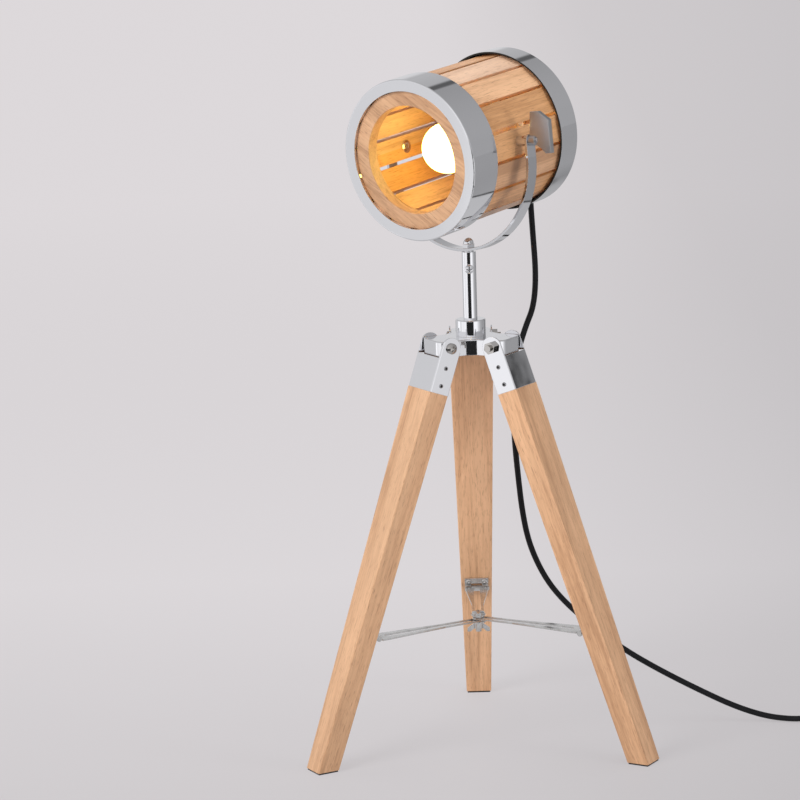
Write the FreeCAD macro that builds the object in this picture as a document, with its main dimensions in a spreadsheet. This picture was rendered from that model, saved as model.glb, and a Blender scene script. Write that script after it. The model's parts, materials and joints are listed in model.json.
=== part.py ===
import FreeCAD, Part
import math
import os
import Sketcher

# A spotlight of wooden staves between two chrome hoops, held in a chrome yoke on
# a post. The post stands on a cast hub with three folding wooden legs, which a
# slotted steel spreader holds apart. Lengths are in millimetres, angles in degrees.
# The frame has +Z up and its origin on the floor under the middle of the lamp.
# The mouth of the spotlight looks towards -Y, turned to -X by the heading.

Vector = FreeCAD.Vector
Placement = FreeCAD.Placement
Rotation = FreeCAD.Rotation
AXIS_X = Vector(1, 0, 0)
AXIS_Y = Vector(0, 1, 0)
AXIS_Z = Vector(0, 0, 1)

SIZES = {
    # stance of the tripod
    "post_axis_back": -40.25,
    "first_leg_azimuth": 210.0,
    "leg_count": 3,
    "splay_angle": 19.9,
    "hinge_high": 382.5,
    "hinge_out": 32.8,
    # wooden leg
    "leg_thick": 20.0,
    "leg_wide_top": 40.1,
    "leg_wide_foot": 23.9,
    "leg_top_below_hinge": 12.5,
    "leg_edge_round": 0.7,
    "foot_pad_thick": 1.6,
    "foot_pad_inset": 0.8,
    # bracket on the leg
    "bracket_sheet": 1.2,
    "bracket_fold": 1.5,
    "bracket_down": 43.0,
    "bracket_face_below_hinge": 11.0,
    # hinge bolt and nut
    "bolt_radius": 3.0,
    "bolt_head_radius": 5.0,
    "bolt_head_high": 3.4,
    "bolt_point_past_nut": 3.2,
    "recess_wide": 1.1,
    "recess_deep": 1.8,
    "recess_long": 5.6,
    "nut_flats": 10.0,
    "nut_thick": 5.0,
    "running_gap": 0.1,
    "seat_gap": 0.05,
    # cast hub
    "hub_thick": 14.7,
    "hub_below_hinge": 8.2,
    "hub_core_radius": 25.0,
    "lug_past_hinge": 10.6,
    "lug_nose_radius": 9.0,
    "hub_edge_round": 1.2,
    "collar_radius": 13.9,
    "collar_high": 15.4,
    "collar_edge": 0.8,
    "hub_screw_head_radius": 8.0,
    "hub_screw_head_high": 3.6,
    "hub_screw_long": 12.0,
    # post and stem
    "post_radius": 6.5,
    "post_bore_radius": 4.55,
    "post_in_hub": 13.7,
    "post_long": 91.8,
    "stem_long": 36.0,
    "stem_gap": 0.1,
    "set_screw_down": 15.5,
    "set_screw_radius": 2.0,
    "set_screw_head_radius": 4.2,
    "set_screw_head_high": 3.2,
    # yoke
    "yoke_lean": 5.0,
    "yoke_straight": 14.9,
    "yoke_clear": 6.6,
    "yoke_sheet": 2.6,
    "yoke_strap_wide": 12.0,
    "yoke_to_post": 0.7,
    "acorn_flats": 10.0,
    "acorn_hex_high": 4.0,
    "acorn_dome_radius": 4.7,
    "acorn_neck": 0.8,
    "stem_stud_radius": 3.0,
    "stem_stud_high": 6.0,
    "acorn_bore_deep": 6.5,
    # head
    "heading": 39.3,
    "nod": 5.92,
    "mouth_out": 73.2,
    "back_out": 83.0,
    "stave_count": 16,
    "stave_out": 70.0,
    "stave_thick": 6.5,
    "stave_gap": 3.2,
    "hoop_clear": 1.5,
    "hoop_sheet": 1.5,
    "front_band_wide": 34.5,
    "rear_band_wide": 24.6,
    "lip_past_stave": 0.1,
    "hoop_edge": 1.0,
    "lip_thick": 1.5,
    "ring_gap": 0.1,
    "front_ring_wide": 13.7,
    "front_ring_thick": 12.0,
    "front_ring_recess": 3.5,
    "rear_disc_thick": 10.0,
    "rear_disc_recess": 3.5,
    "cord_hole_radius": 4.5,
    # lamp holder and bulb
    "holder_radius": 19.5,
    "holder_long": 56.2,
    "holder_flange_radius": 26.0,
    "holder_flange_thick": 3.0,
    "holder_bore_gap": 0.4,
    "holder_socket_deep": 27.0,
    "bulb_centre_out": 16.7,
    "bulb_radius": 23.4,
    "bulb_shoulder_radius": 20.3,
    "cap_radius": 13.0,
    "cap_long": 27.0,
    "cap_contact_radius": 5.0,
    "cap_contact_high": 2.0,
    # pivots
    "pivot_bolt_radius": 3.0,
    "pivot_head_radius": 6.0,
    "pivot_head_high": 2.4,
    "spacer_radius": 5.0,
    "knob_boss_radius": 4.6,
    "knob_boss_long": 7.0,
    "knob_wing_long": 23.5,
    "knob_wing_up": 26.0,
    "knob_wing_down": 12.0,
    "knob_wing_thick": 4.6,
    "knob_thread_long": 9.0,
    # cord gland on the back
    "gland_flange_radius": 9.5,
    "gland_flange_thick": 3.0,
    "gland_drop": 6.0,
    "gland_angle": 65.0,
    "gland_long": 25.0,
    "gland_root_radius": 5.4,
    "gland_tip_radius": 3.4,
    # spreader
    "pin_down": 275.0,
    "leaf_sheet": 1.6,
    "leaf_wide": 23.0,
    "leaf_up": 9.5,
    "leaf_down": 2.0,
    "knuckle_radius": 3.0,
    "knuckle_to_leaf": 2.7,
    "knuckle_half_wide": 5.0,
    "knuckle_gap": 0.4,
    "pin_radius": 1.5,
    "pin_head_radius": 2.2,
    "pin_head_high": 0.8,
    "arm_sheet": 1.5,
    "arm_step": 2.1,
    "arm_wide_root": 22.4,
    "arm_wide": 11.0,
    "arm_root_long": 12.0,
    "arm_flare_long": 62.0,
    "arm_tongue_long": 3.9,
    "arm_slot_wide": 6.2,
    "arm_slot_start": 15.0,
    "centre_bolt_radius": 2.5,
    "centre_head_radius": 6.0,
    "centre_head_high": 3.0,
    "centre_washer_radius": 7.0,
    "centre_washer_thick": 1.0,
    "wing_nut_radius": 4.4,
    "wing_nut_high": 6.0,
    "wing_nut_span": 21.0,
    "wing_nut_drop": 9.0,
    "wing_nut_sheet": 2.2,
    "centre_bolt_below": 3.0,
    # mains cord, its switch and its plug
    "cord_radius": 2.75,
    "cord_off_floor": 0.25,
    "cord_share": 0.45,
    "link_run": 16.8,
    "coil_inner_radius": 24.5,
    "coil_pitch": 6.0,
    "coil_turns": 5,
    "coil_climb": 6.3,
    "coil_leave_long": 34.0,
    "switch_long": 55.0,
    "switch_wide": 27.0,
    "switch_high": 16.0,
    "switch_split": 8.0,
    "switch_corner": 9.0,
    "switch_edge": 2.0,
    "switch_nub_long": 10.0,
    "switch_nub_root": 4.6,
    "switch_nub_tip": 3.4,
    "switch_x": 375.5,
    "switch_y": 26.0,
    "rocker_half_long": 8.6,
    "rocker_half_flat": 6.0,
    "rocker_top_half": 7.6,
    "rocker_wide": 9.0,
    "rocker_down": 3.0,
    "rocker_up": 5.2,
    "rocker_middle": 4.0,
    "rocker_pivot_high": 12.0,
    "rocker_axle_radius": 1.5,
    "rocker_axle_past": 1.2,
    "rocker_tilt": 7.0,
    "rocker_window_half": 9.6,
    "rocker_gap": 0.5,
    "plug_sleeve_long": 20.0,
    "plug_sleeve_root": 4.6,
    "plug_sleeve_tip": 3.4,
    "plug_long": 34.0,
    "plug_wide": 35.0,
    "plug_tail_wide": 12.0,
    "plug_waist_long": 15.0,
    "plug_thick": 13.6,
    "plug_edge": 2.5,
    "plug_pin_radius": 2.0,
    "plug_pin_root_radius": 1.4,
    "plug_pin_long": 19.0,
    "plug_pin_apart": 18.6,
    "plug_pin_buried": 6.0,
    "overrun": 2.0,
}


class Size:
    """A number that remembers the formula it comes from."""

    def __init__(self, value, text):
        self.value = value
        self.text = text

    def __add__(self, other):
        other = as_size(other)
        return Size(self.value + other.value, f"({self.text} + {other.text})")

    def __sub__(self, other):
        other = as_size(other)
        return Size(self.value - other.value, f"({self.text} - {other.text})")

    def __mul__(self, other):
        other = as_size(other)
        return Size(self.value * other.value, f"({self.text} * {other.text})")

    def __truediv__(self, other):
        other = as_size(other)
        return Size(self.value / other.value, f"({self.text} / {other.text})")

    def __neg__(self):
        return Size(-self.value, f"(-1 * {self.text})")


def as_size(number):
    return number if isinstance(number, Size) else Size(float(number), repr(float(number)))


def sine(angle):
    return Size(math.sin(math.radians(angle.value)), f"sin({angle.text})")


def cosine(angle):
    return Size(math.cos(math.radians(angle.value)), f"cos({angle.text})")


def tangent(angle):
    return sine(angle) / cosine(angle)


def root(number):
    return Size(math.sqrt(number.value), f"sqrt({number.text})")


class Sheet:
    """The spreadsheet of driving sizes, with one attribute for each alias."""

    def __init__(self, document, sizes):
        self.cells = document.addObject("Spreadsheet::Sheet", "Sizes")
        for row, (alias, value) in enumerate(sizes.items(), start=1):
            self.cells.set(f"A{row}", alias)
            self.cells.set(f"B{row}", repr(value))
            self.cells.setAlias(f"B{row}", alias)
            setattr(self, alias, Size(float(value), f"Sizes.{alias}"))


doc = FreeCAD.newDocument("Lamp")
s = Sheet(doc, SIZES)
doc.recompute()
ZERO = as_size(0)
NODES = {}


class Outline:
    """A sketch on one of a body's own planes, each point of it held by two sizes."""

    def __init__(self, body, plane, name, lift=ZERO):
        self.sketch = body.newObject("Sketcher::SketchObject", name)
        base = next(item for item in body.Origin.OriginFeatures if item.Role == plane)
        self.sketch.AttachmentSupport = [(base, "")]
        self.sketch.MapMode = "FlatFace"
        if lift is not ZERO:
            self.sketch.setExpression("AttachmentOffset.Base.z", lift.text)

    def hold(self, kind, places, value):
        number = self.sketch.addConstraint(Sketcher.Constraint(kind, *places, value.value))
        if "Sizes." in value.text:
            self.sketch.setExpression(f"Constraints[{number}]", value.text)

    def pin(self, index, end, x, y):
        self.hold("DistanceX", (-1, 1, index, end), as_size(x))
        self.hold("DistanceY", (-1, 1, index, end), as_size(y))

    def circle(self, x, y, radius):
        x, y = as_size(x), as_size(y)
        ring = Part.Circle(Vector(x.value, y.value, 0), AXIS_Z, radius.value)
        index = self.sketch.addGeometry(ring, False)
        self.pin(index, 3, x, y)
        self.hold("Radius", (index,), radius)

    def closed(self, *points):
        """Draws a closed outline. A third number is the radius of the arc that leads
        to its point, positive where the arc bends to the left."""
        points = [tuple(as_size(item) for item in point) for point in points]
        ends = []
        for number, point in enumerate(points):
            after = points[(number + 1) % len(points)]
            start = Vector(point[0].value, point[1].value, 0)
            stop = Vector(after[0].value, after[1].value, 0)
            if len(after) == 2:
                index = self.sketch.addGeometry(Part.LineSegment(start, stop), False)
                ends.append((index, 1, 2))
                continue
            bend = after[2].value
            half = (stop - start) * 0.5
            depth = math.sqrt(max(bend * bend - half.Length ** 2, 0))
            aside = AXIS_Z.cross(half).normalize() * math.copysign(depth, bend)
            centre = start + half + aside
            first, last = (start, stop) if bend > 0 else (stop, start)
            angles = [math.atan2(end.y - centre.y, end.x - centre.x) for end in (first, last)]
            ring = Part.Circle(centre, AXIS_Z, abs(bend))
            index = self.sketch.addGeometry(Part.ArcOfCircle(ring, *angles), False)
            ends.append((index, 1, 2) if bend > 0 else (index, 2, 1))
        for number, (index, start, stop) in enumerate(ends):
            following, begins, _ = ends[(number + 1) % len(ends)]
            self.sketch.addConstraint(Sketcher.Constraint("Coincident", index, stop, following, begins))
            self.pin(index, start, points[number][0], points[number][1])
            after = points[(number + 1) % len(points)]
            if len(after) == 3:
                radius = after[2] if after[2].value > 0 else -after[2]
                self.hold("Radius", (index,), radius)

    def rectangle(self, left, low, right, high):
        self.closed((left, low), (right, low), (right, high), (left, high))

    def hexagon(self, flats, x=0, y=0):
        corner = flats / root(as_size(3))
        x, y = as_size(x), as_size(y)
        self.closed((x + corner, y), (x + corner / 2, y + flats / 2), (x - corner / 2, y + flats / 2),
                    (x - corner, y), (x - corner / 2, y - flats / 2), (x + corner / 2, y - flats / 2))

    def cross(self, long, wide, x=0, y=0):
        x, y = as_size(x), as_size(y)
        far, near = long / 2, wide / 2
        self.closed((x + far, y - near), (x + far, y + near), (x + near, y + near), (x + near, y + far),
                    (x - near, y + far), (x - near, y + near), (x - far, y + near), (x - far, y - near),
                    (x - near, y - near), (x - near, y - far), (x + near, y - far), (x + near, y - near))


class Piece:
    """A body that is built up from sketched features."""

    def __init__(self, label, frame=None):
        self.body = doc.addObject("PartDesign::Body", label)
        self.body.Label = label
        self.features = 0
        if frame is not None:
            self.body.Placement = frame
            NODES[label] = self.body

    def named(self, kind):
        self.features += 1
        return f"{self.body.Name}_{kind}_{self.features}"

    def outline(self, plane="XY_Plane", lift=ZERO):
        return Outline(self.body, plane, self.named("outline"), lift)

    def feature(self, kind, outline):
        made = self.body.newObject(f"PartDesign::{kind}", self.named(kind.lower()))
        made.Profile = outline.sketch
        return made

    def pad(self, outline, length, both=False, back=False):
        made = self.feature("Pad", outline)
        made.SideType = "Symmetric" if both else "One side"
        made.Reversed = back
        made.setExpression("Length", as_size(length).text)
        return made

    def pocket(self, outline, length, both=True, back=False):
        made = self.feature("Pocket", outline)
        made.SideType = "Symmetric" if both else "One side"
        made.Reversed = back
        made.setExpression("Length", as_size(length).text)
        return made

    def turned(self, outline):
        made = self.feature("Revolution", outline)
        made.ReferenceAxis = (outline.sketch, ["V_Axis"])
        return made

    def around(self, outline, features, count):
        made = self.body.newObject("PartDesign::PolarPattern", self.named("pattern"))
        made.Originals = features
        made.Axis = (outline.sketch, ["N_Axis"])
        made.Angle = 360
        made.setExpression("Occurrences", count.text)
        self.body.Tip = made
        return made

    def rounded(self, radius, chosen):
        """Rounds the edges of the tip that the function picks out."""
        doc.recompute()
        tip = self.body.Tip
        names = [f"Edge{number}" for number, edge in enumerate(tip.Shape.Edges, start=1) if chosen(edge)]
        made = self.body.newObject("PartDesign::Fillet", self.named("fillet"))
        made.Base = (tip, names)
        made.setExpression("Radius", as_size(radius).text)
        return made


def group(label, pieces, frame):
    """Several separate solids that share one node."""
    made = doc.addObject("Part::Compound", label)
    made.Label = label
    made.Links = [piece.body if isinstance(piece, Piece) else piece for piece in pieces]
    made.Placement = frame
    NODES[label] = made
    return made


def at(x=ZERO, y=ZERO, z=ZERO, axis=AXIS_Z, angle=0.0):
    place = Vector(as_size(x).value, as_size(y).value, as_size(z).value)
    return Placement(place, Rotation(axis, as_size(angle).value))


# Frame of the tripod, and the turn from leg to leg
TRIPOD = at(y=s.post_axis_back)
leg_turn = as_size(360) / s.leg_count


def upright_frame(number):
    """Frame of a leg with X outwards and Z up, on the floor under the post."""
    return TRIPOD * at(angle=s.first_leg_azimuth + leg_turn * number)


def leaning_frame(number):
    """Frame of a leg with its origin on the hinge, Z up along the leg, X through it."""
    return upright_frame(number) * at(s.hinge_out, 0, s.hinge_high, AXIS_Y, -s.splay_angle)


# Sizes that several pieces share
half_leg = s.leg_thick / 2
bracket_inside = s.leg_wide_top - s.bracket_sheet * 2
lug_wide = bracket_inside - s.running_gap * 2
hub_low = s.hinge_high - s.hub_below_hinge
hub_top = hub_low + s.hub_thick
post_low = hub_top - s.post_in_hub
stave_half_turn = as_size(180) / s.stave_count
band_in = s.stave_out / cosine(stave_half_turn) + s.hoop_clear
hoop_radius = band_in + s.hoop_sheet
post_top = post_low + s.post_long
set_screw_high = post_top - s.set_screw_down
yoke_low = post_top + s.yoke_to_post
yoke_half_wide = hoop_radius + s.yoke_clear
yoke_drop = yoke_half_wide + s.yoke_straight
stem_radius = s.post_bore_radius - s.stem_gap
foot_down = (s.hinge_high - s.foot_pad_thick) / cosine(s.splay_angle)
foot_run = s.leg_thick * tangent(s.splay_angle)
pin_in = half_leg + s.leaf_sheet + s.knuckle_to_leaf
pin_out = s.hinge_out - pin_in * cosine(s.splay_angle) + s.pin_down * sine(s.splay_angle)
pin_high = s.hinge_high - pin_in * sine(s.splay_angle) - s.pin_down * cosine(s.splay_angle)
foot_out = s.hinge_out + (s.hinge_high - s.foot_pad_thick) * tangent(s.splay_angle)
stave_in = s.stave_out - s.stave_thick
stave_front = s.mouth_out - s.lip_thick
stave_back = s.back_out - s.lip_thick
ring_front = s.mouth_out - s.front_ring_recess
disc_back = s.back_out - s.rear_disc_recess
disc_front = disc_back - s.rear_disc_thick
stave_slant = tangent(stave_half_turn)
lip_radius = stave_in + s.lip_past_stave
coil_outer_radius = s.coil_inner_radius + s.coil_pitch * s.coil_turns / 2
cord_side = (s.switch_x + s.switch_long / 2 + s.switch_nub_long
             + s.link_run * (as_size(1) + cosine(as_size(30)) + cosine(as_size(60))))
coil_start_y = s.switch_y + s.link_run * (sine(as_size(30)) + sine(as_size(60)) + 2)
coil_centre_x = cord_side - coil_outer_radius
coil_centre_y = coil_start_y + s.cord_radius * 2
plug_middle = s.plug_thick / 2 + s.seat_gap

# Frames of the yoke's upright foot, of the yoke, which leans to one side on it, with its
# origin between the pivots, of the head that nods in it, and of the barrel with Z out of
# its mouth
YOKE_FOOT = TRIPOD * at(z=yoke_low + s.yoke_sheet, angle=-s.heading)
YOKE = YOKE_FOOT * at(axis=AXIS_Y, angle=-s.yoke_lean) * at(z=yoke_drop)
HEAD = YOKE * at(axis=AXIS_X, angle=s.nod)
DRUM = HEAD * at(axis=AXIS_X, angle=90)


def screw(label, radius, long, head_radius, head_high, recess=None):
    """A screw that points down -Z from under its domed head."""
    piece = Piece(label)
    profile = piece.outline("XZ_Plane")
    rise = head_high / 2
    crown = (head_radius * head_radius + rise * rise) / (rise * 2)
    profile.closed((0, -long), (radius, -long), (radius, 0), (head_radius, 0),
                   (head_radius, head_high - rise), (0, head_high, crown))
    piece.turned(profile)
    if recess:
        slot = piece.outline("XY_Plane", head_high)
        slot.cross(*recess)
        piece.pocket(slot, s.recess_deep * 2)
    return piece


def build_hub():
    """Cast hub with three lugs, the collar round the post, and the screw below."""
    hub = Piece("hub_casting", TRIPOD * at(angle=s.first_leg_azimuth))
    core = hub.outline(lift=hub_low)
    core.circle(0, 0, s.hub_core_radius)
    hub.pad(core, s.hub_thick)
    lug = hub.outline(lift=hub_low)
    nose = s.hinge_out + s.lug_past_hinge
    bend = s.lug_nose_radius
    half = lug_wide / 2
    lug.closed((0, -half), (nose - bend, -half), (nose, bend - half, bend),
               (nose, half - bend), (nose - bend, half, bend), (0, half))
    arm = hub.pad(lug, s.hub_thick)
    hub.around(lug, [arm], s.leg_count)
    hinge = hub.outline("XZ_Plane")
    hinge.circle(s.hinge_out, s.hinge_high, s.bolt_radius + s.running_gap)
    hole = hub.pocket(hinge, lug_wide + s.overrun)
    hub.around(core, [hole], s.leg_count)
    bore = hub.outline(lift=post_low)
    bore.circle(0, 0, s.post_radius + s.seat_gap)
    hub.pocket(bore, s.post_in_hub + s.overrun, both=False, back=True)
    way = hub.outline(lift=hub_low)
    way.circle(0, 0, stem_radius)
    hub.pocket(way, s.hub_thick * 2)
    top = hub_top.value
    hub.rounded(s.hub_edge_round, lambda edge: all(
        abs(v.Z - top) < 1e-6 and math.hypot(v.X, v.Y) > s.post_radius.value * 2 for v in edge.Vertexes))

    collar = Piece("post_collar", TRIPOD)
    ring = collar.outline("XZ_Plane")
    hole_radius = s.post_radius + s.seat_gap
    collar_top = hub_top + s.collar_high
    ring.closed((hole_radius, hub_top), (s.collar_radius, hub_top),
                (s.collar_radius, collar_top - s.collar_edge),
                (s.collar_radius - s.collar_edge, collar_top), (hole_radius, collar_top))
    collar.turned(ring)

    fixing = screw("hub_screw", stem_radius - s.seat_gap, s.hub_screw_long,
                   s.hub_screw_head_radius, s.hub_screw_head_high)
    group("post_fixing_screw", [fixing], TRIPOD * at(0, 0, hub_low, AXIS_X, 180))


def build_post():
    """Post tube with the set screw that clamps the stem of the yoke."""
    post = Piece("post_tube", TRIPOD)
    wall = post.outline("XZ_Plane")
    wall.rectangle(s.post_bore_radius, post_low, s.post_radius, post_top)
    post.turned(wall)
    hole = post.outline("XZ_Plane")
    hole.circle(0, set_screw_high, s.set_screw_radius + s.seat_gap)
    post.pocket(hole, s.post_radius + s.overrun, both=False, back=True)

    flat = screw("set_screw_solid", s.set_screw_radius, s.post_radius - s.post_bore_radius,
                 s.set_screw_head_radius, s.set_screw_head_high,
                 (s.recess_long, s.recess_wide))
    group("post_set_screw", [flat], TRIPOD * at(0, -s.post_radius, set_screw_high, AXIS_X, 90))


def build_leg(number):
    """One folding leg with its bracket, hinge bolt, spreader leaf and foot pad."""
    upright = upright_frame(number)
    leaning = leaning_frame(number)
    tag = f"leg_{number + 1}"

    wood = Piece(f"{tag}_wood", leaning)
    taper = wood.outline("YZ_Plane")
    half_top = s.leg_wide_top / 2
    half_foot = s.leg_wide_foot / 2
    toe = -(foot_down + foot_run)
    taper.closed((-half_foot, toe), (half_foot, toe), (half_top, -s.bracket_down),
                 (-half_top, -s.bracket_down))
    wood.pad(taper, s.leg_thick, both=True)
    tenon = wood.outline(lift=-s.bracket_down)
    half_tenon = half_top - s.bracket_sheet
    tenon.rectangle(-half_leg, -half_tenon, half_leg - s.bracket_sheet, half_tenon)
    wood.pad(tenon, s.bracket_down - s.leg_top_below_hinge)
    floor = wood.outline("XZ_Plane")
    reach = s.leg_thick
    low = foot_down + foot_run * 3
    floor.closed((-reach, foot_run - foot_down), (-reach, -low), (reach, -low),
                 (reach, -(foot_down + foot_run)))
    wood.pocket(floor, s.leg_wide_top)
    wood.rounded(s.leg_edge_round, lambda edge: edge.Length > s.pin_down.value)

    bracket = Piece(f"{tag}_bracket", leaning)
    section = bracket.outline(lift=-s.bracket_down)
    fold = s.bracket_fold
    section.closed((-half_leg, -half_top), (half_leg - fold, -half_top), (half_leg, fold - half_top, fold),
                   (half_leg, half_top - fold), (half_leg - fold, half_top, fold),
                   (-half_leg, half_top))
    bracket.pad(section, s.bracket_down + half_leg)
    past = half_leg + s.overrun
    arch = bracket.outline("XZ_Plane")
    arch.closed((past, 0), (past, past), (-past, past), (-past, 0), (-half_leg, 0),
                (0, half_leg, -half_leg), (half_leg, 0, -half_leg))
    bracket.pocket(arch, s.leg_wide_top + s.overrun)
    channel = bracket.outline("XZ_Plane")
    channel.rectangle(-past, -(s.bracket_down + s.overrun), half_leg - s.bracket_sheet, past)
    bracket.pocket(channel, bracket_inside)
    window = bracket.outline("XZ_Plane")
    window.rectangle(0, -s.bracket_face_below_hinge, past, past)
    bracket.pocket(window, bracket_inside)
    hole = bracket.outline("XZ_Plane")
    hole.circle(0, 0, s.bolt_radius + s.seat_gap)
    bracket.pocket(hole, s.leg_wide_top + s.overrun)

    bolt_long = s.leg_wide_top + s.nut_thick + s.bolt_point_past_nut
    bolt = screw(f"{tag}_bolt", s.bolt_radius, bolt_long, s.bolt_head_radius, s.bolt_head_high,
                 (s.recess_long, s.recess_wide))
    nut = Piece(f"{tag}_nut")
    hexagon = nut.outline(lift=-(s.leg_wide_top + s.nut_thick))
    hexagon.hexagon(s.nut_flats)
    hexagon.circle(0, 0, s.bolt_radius + s.seat_gap)
    nut.pad(hexagon, s.nut_thick)
    group(f"{tag}_hinge_bolt", [bolt, nut],
          leaning * at(0, half_top, 0, AXIS_X, -90))

    leaf = Piece(f"{tag}_spreader_leaf", leaning)
    plate = leaf.outline("YZ_Plane", -half_leg)
    half_leaf = s.leaf_wide / 2
    notch = s.knuckle_half_wide + s.knuckle_gap
    notch_top = s.knuckle_radius + s.knuckle_gap - s.pin_down
    foot = -(s.pin_down + s.leaf_down)
    top = s.leaf_up - s.pin_down
    plate.closed((-half_leaf, foot), (-notch, foot), (-notch, notch_top), (notch, notch_top),
                 (notch, foot), (half_leaf, foot), (half_leaf, top), (-half_leaf, top))
    leaf.pad(plate, s.leaf_sheet, back=True)
    for side in (1, -1):
        knuckle = leaf.outline("XZ_Plane", notch if side > 0 else -half_leaf)
        knuckle.circle(-pin_in, -s.pin_down, s.knuckle_radius)
        leaf.pad(knuckle, half_leaf - notch)
    bore = leaf.outline("XZ_Plane")
    bore.circle(-pin_in, -s.pin_down, s.pin_radius + s.seat_gap)
    leaf.pocket(bore, s.leaf_wide + s.overrun)

    pin = Piece(f"{tag}_spreader_pin", leaning * at(-pin_in, 0, -s.pin_down, AXIS_X, 90))
    rod = pin.outline("XZ_Plane")
    rod.closed((0, -half_leaf), (s.pin_radius, -half_leaf), (s.pin_radius, half_leaf + s.seat_gap),
               (s.pin_head_radius, half_leaf + s.seat_gap),
               (s.pin_head_radius, half_leaf + s.pin_head_high), (0, half_leaf + s.pin_head_high))
    pin.turned(rod)

    pad = Piece(f"{tag}_foot_pad", upright * at(foot_out))
    sole = pad.outline()
    half_deep = half_leg / cosine(s.splay_angle) - s.foot_pad_inset
    half_wide = half_foot - s.foot_pad_inset
    sole.rectangle(-half_deep, -half_wide, half_deep, half_wide)
    pad.pad(sole, s.foot_pad_thick)


def build_arm(number):
    """One slotted arm of the spreader, from its hinge pin to the centre bolt."""
    level = s.arm_step * (number - 1)
    arm = Piece(f"spreader_arm_{number + 1}", upright_frame(number) * at(0, 0, pin_high))
    plate = arm.outline(lift=level - s.arm_sheet / 2)
    slot_half = s.arm_slot_wide / 2
    half = s.arm_wide / 2
    wide = s.arm_wide_root / 2
    tongue = s.knuckle_half_wide
    inner = pin_out
    neck = pin_out - s.arm_tongue_long
    flare = pin_out - s.arm_root_long
    slim = flare - s.arm_flare_long
    plate.closed((0, -half, half), (slim, -half), (flare, -wide), (neck, -wide), (neck, -tongue),
                 (inner, -tongue), (inner, tongue), (neck, tongue), (neck, wide), (flare, wide),
                 (slim, half), (0, half), (-half, 0, half))
    arm.pad(plate, s.arm_sheet)
    slot = arm.outline(lift=level)
    slot_end = pin_out - s.arm_slot_start
    slot.closed((0, -slot_half, slot_half), (slot_end, -slot_half),
                (slot_end + slot_half, 0, slot_half), (slot_end, slot_half, slot_half),
                (0, slot_half), (-slot_half, 0, slot_half))
    arm.pocket(slot, s.arm_sheet * 2)
    knuckle = arm.outline("XZ_Plane")
    knuckle.circle(pin_out, 0, s.knuckle_radius)
    arm.pad(knuckle, s.knuckle_half_wide * 2, both=True)
    bore = arm.outline("XZ_Plane")
    bore.circle(pin_out, 0, s.pin_radius + s.running_gap)
    arm.pocket(bore, s.knuckle_half_wide * 2 + s.overrun)


# Corners of the wing nut's right wing, as shares of its half span and its drop, from the
# root outwards, and of the knob's fan, as shares of its length and its rise or its fall
WING_SHARES = ((0.34, 0.1), (1, 0.65), (1, 1), (0.72, 1), (0.34, 0.6))
FAN_TOP_SHARES = ((1, 0.69), (0.52, 1), (0.15, 1))
FAN_LOW_SHARES = ((0.55, 0.6), (0.75, 1), (1, 1))
FAN_ROOT_SHARES = (0.04, 0.3)
KNOB_ROOT_SHARE = 0.9


def build_centre():
    """Bolt, washers and wing nut that clamp the three arms where they cross."""
    stack = s.arm_step + s.arm_sheet / 2
    seat = stack + s.seat_gap
    long = seat * 2 + s.centre_washer_thick * 2 + s.wing_nut_high + s.centre_bolt_below
    bolt = screw("centre_bolt_solid", s.centre_bolt_radius, long, s.centre_head_radius,
                 s.centre_head_high, (s.recess_long, s.recess_wide))
    bolt.body.Placement = at(z=seat + s.centre_washer_thick)
    washers = []
    for low in (seat, -(seat + s.centre_washer_thick)):
        washer = Piece(f"centre_washer_{len(washers)}")
        ring = washer.outline(lift=low)
        ring.circle(0, 0, s.centre_washer_radius)
        ring.circle(0, 0, s.centre_bolt_radius + s.seat_gap)
        washer.pad(ring, s.centre_washer_thick)
        washers.append(washer)
    group("spreader_bolt", [bolt] + washers, TRIPOD * at(0, 0, pin_high))

    nut_top = pin_high - seat - s.centre_washer_thick - s.seat_gap
    nut = Piece("spreader_wing_nut", TRIPOD * at(0, 0, nut_top))
    boss = nut.outline("XZ_Plane")
    boss.rectangle(0, -s.wing_nut_high, s.wing_nut_radius, 0)
    nut.turned(boss)
    wings = nut.outline("XZ_Plane")
    half_span = s.wing_nut_span / 2
    right = [(half_span * across, -s.wing_nut_drop * down) for across, down in WING_SHARES]
    left = [(-x, z) for x, z in right]
    wings.closed(*left, *reversed(right))
    nut.pad(wings, s.wing_nut_sheet, both=True)
    thread = nut.outline()
    thread.circle(0, 0, s.centre_bolt_radius + s.running_gap)
    nut.pocket(thread, s.wing_nut_high * 4)


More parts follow.
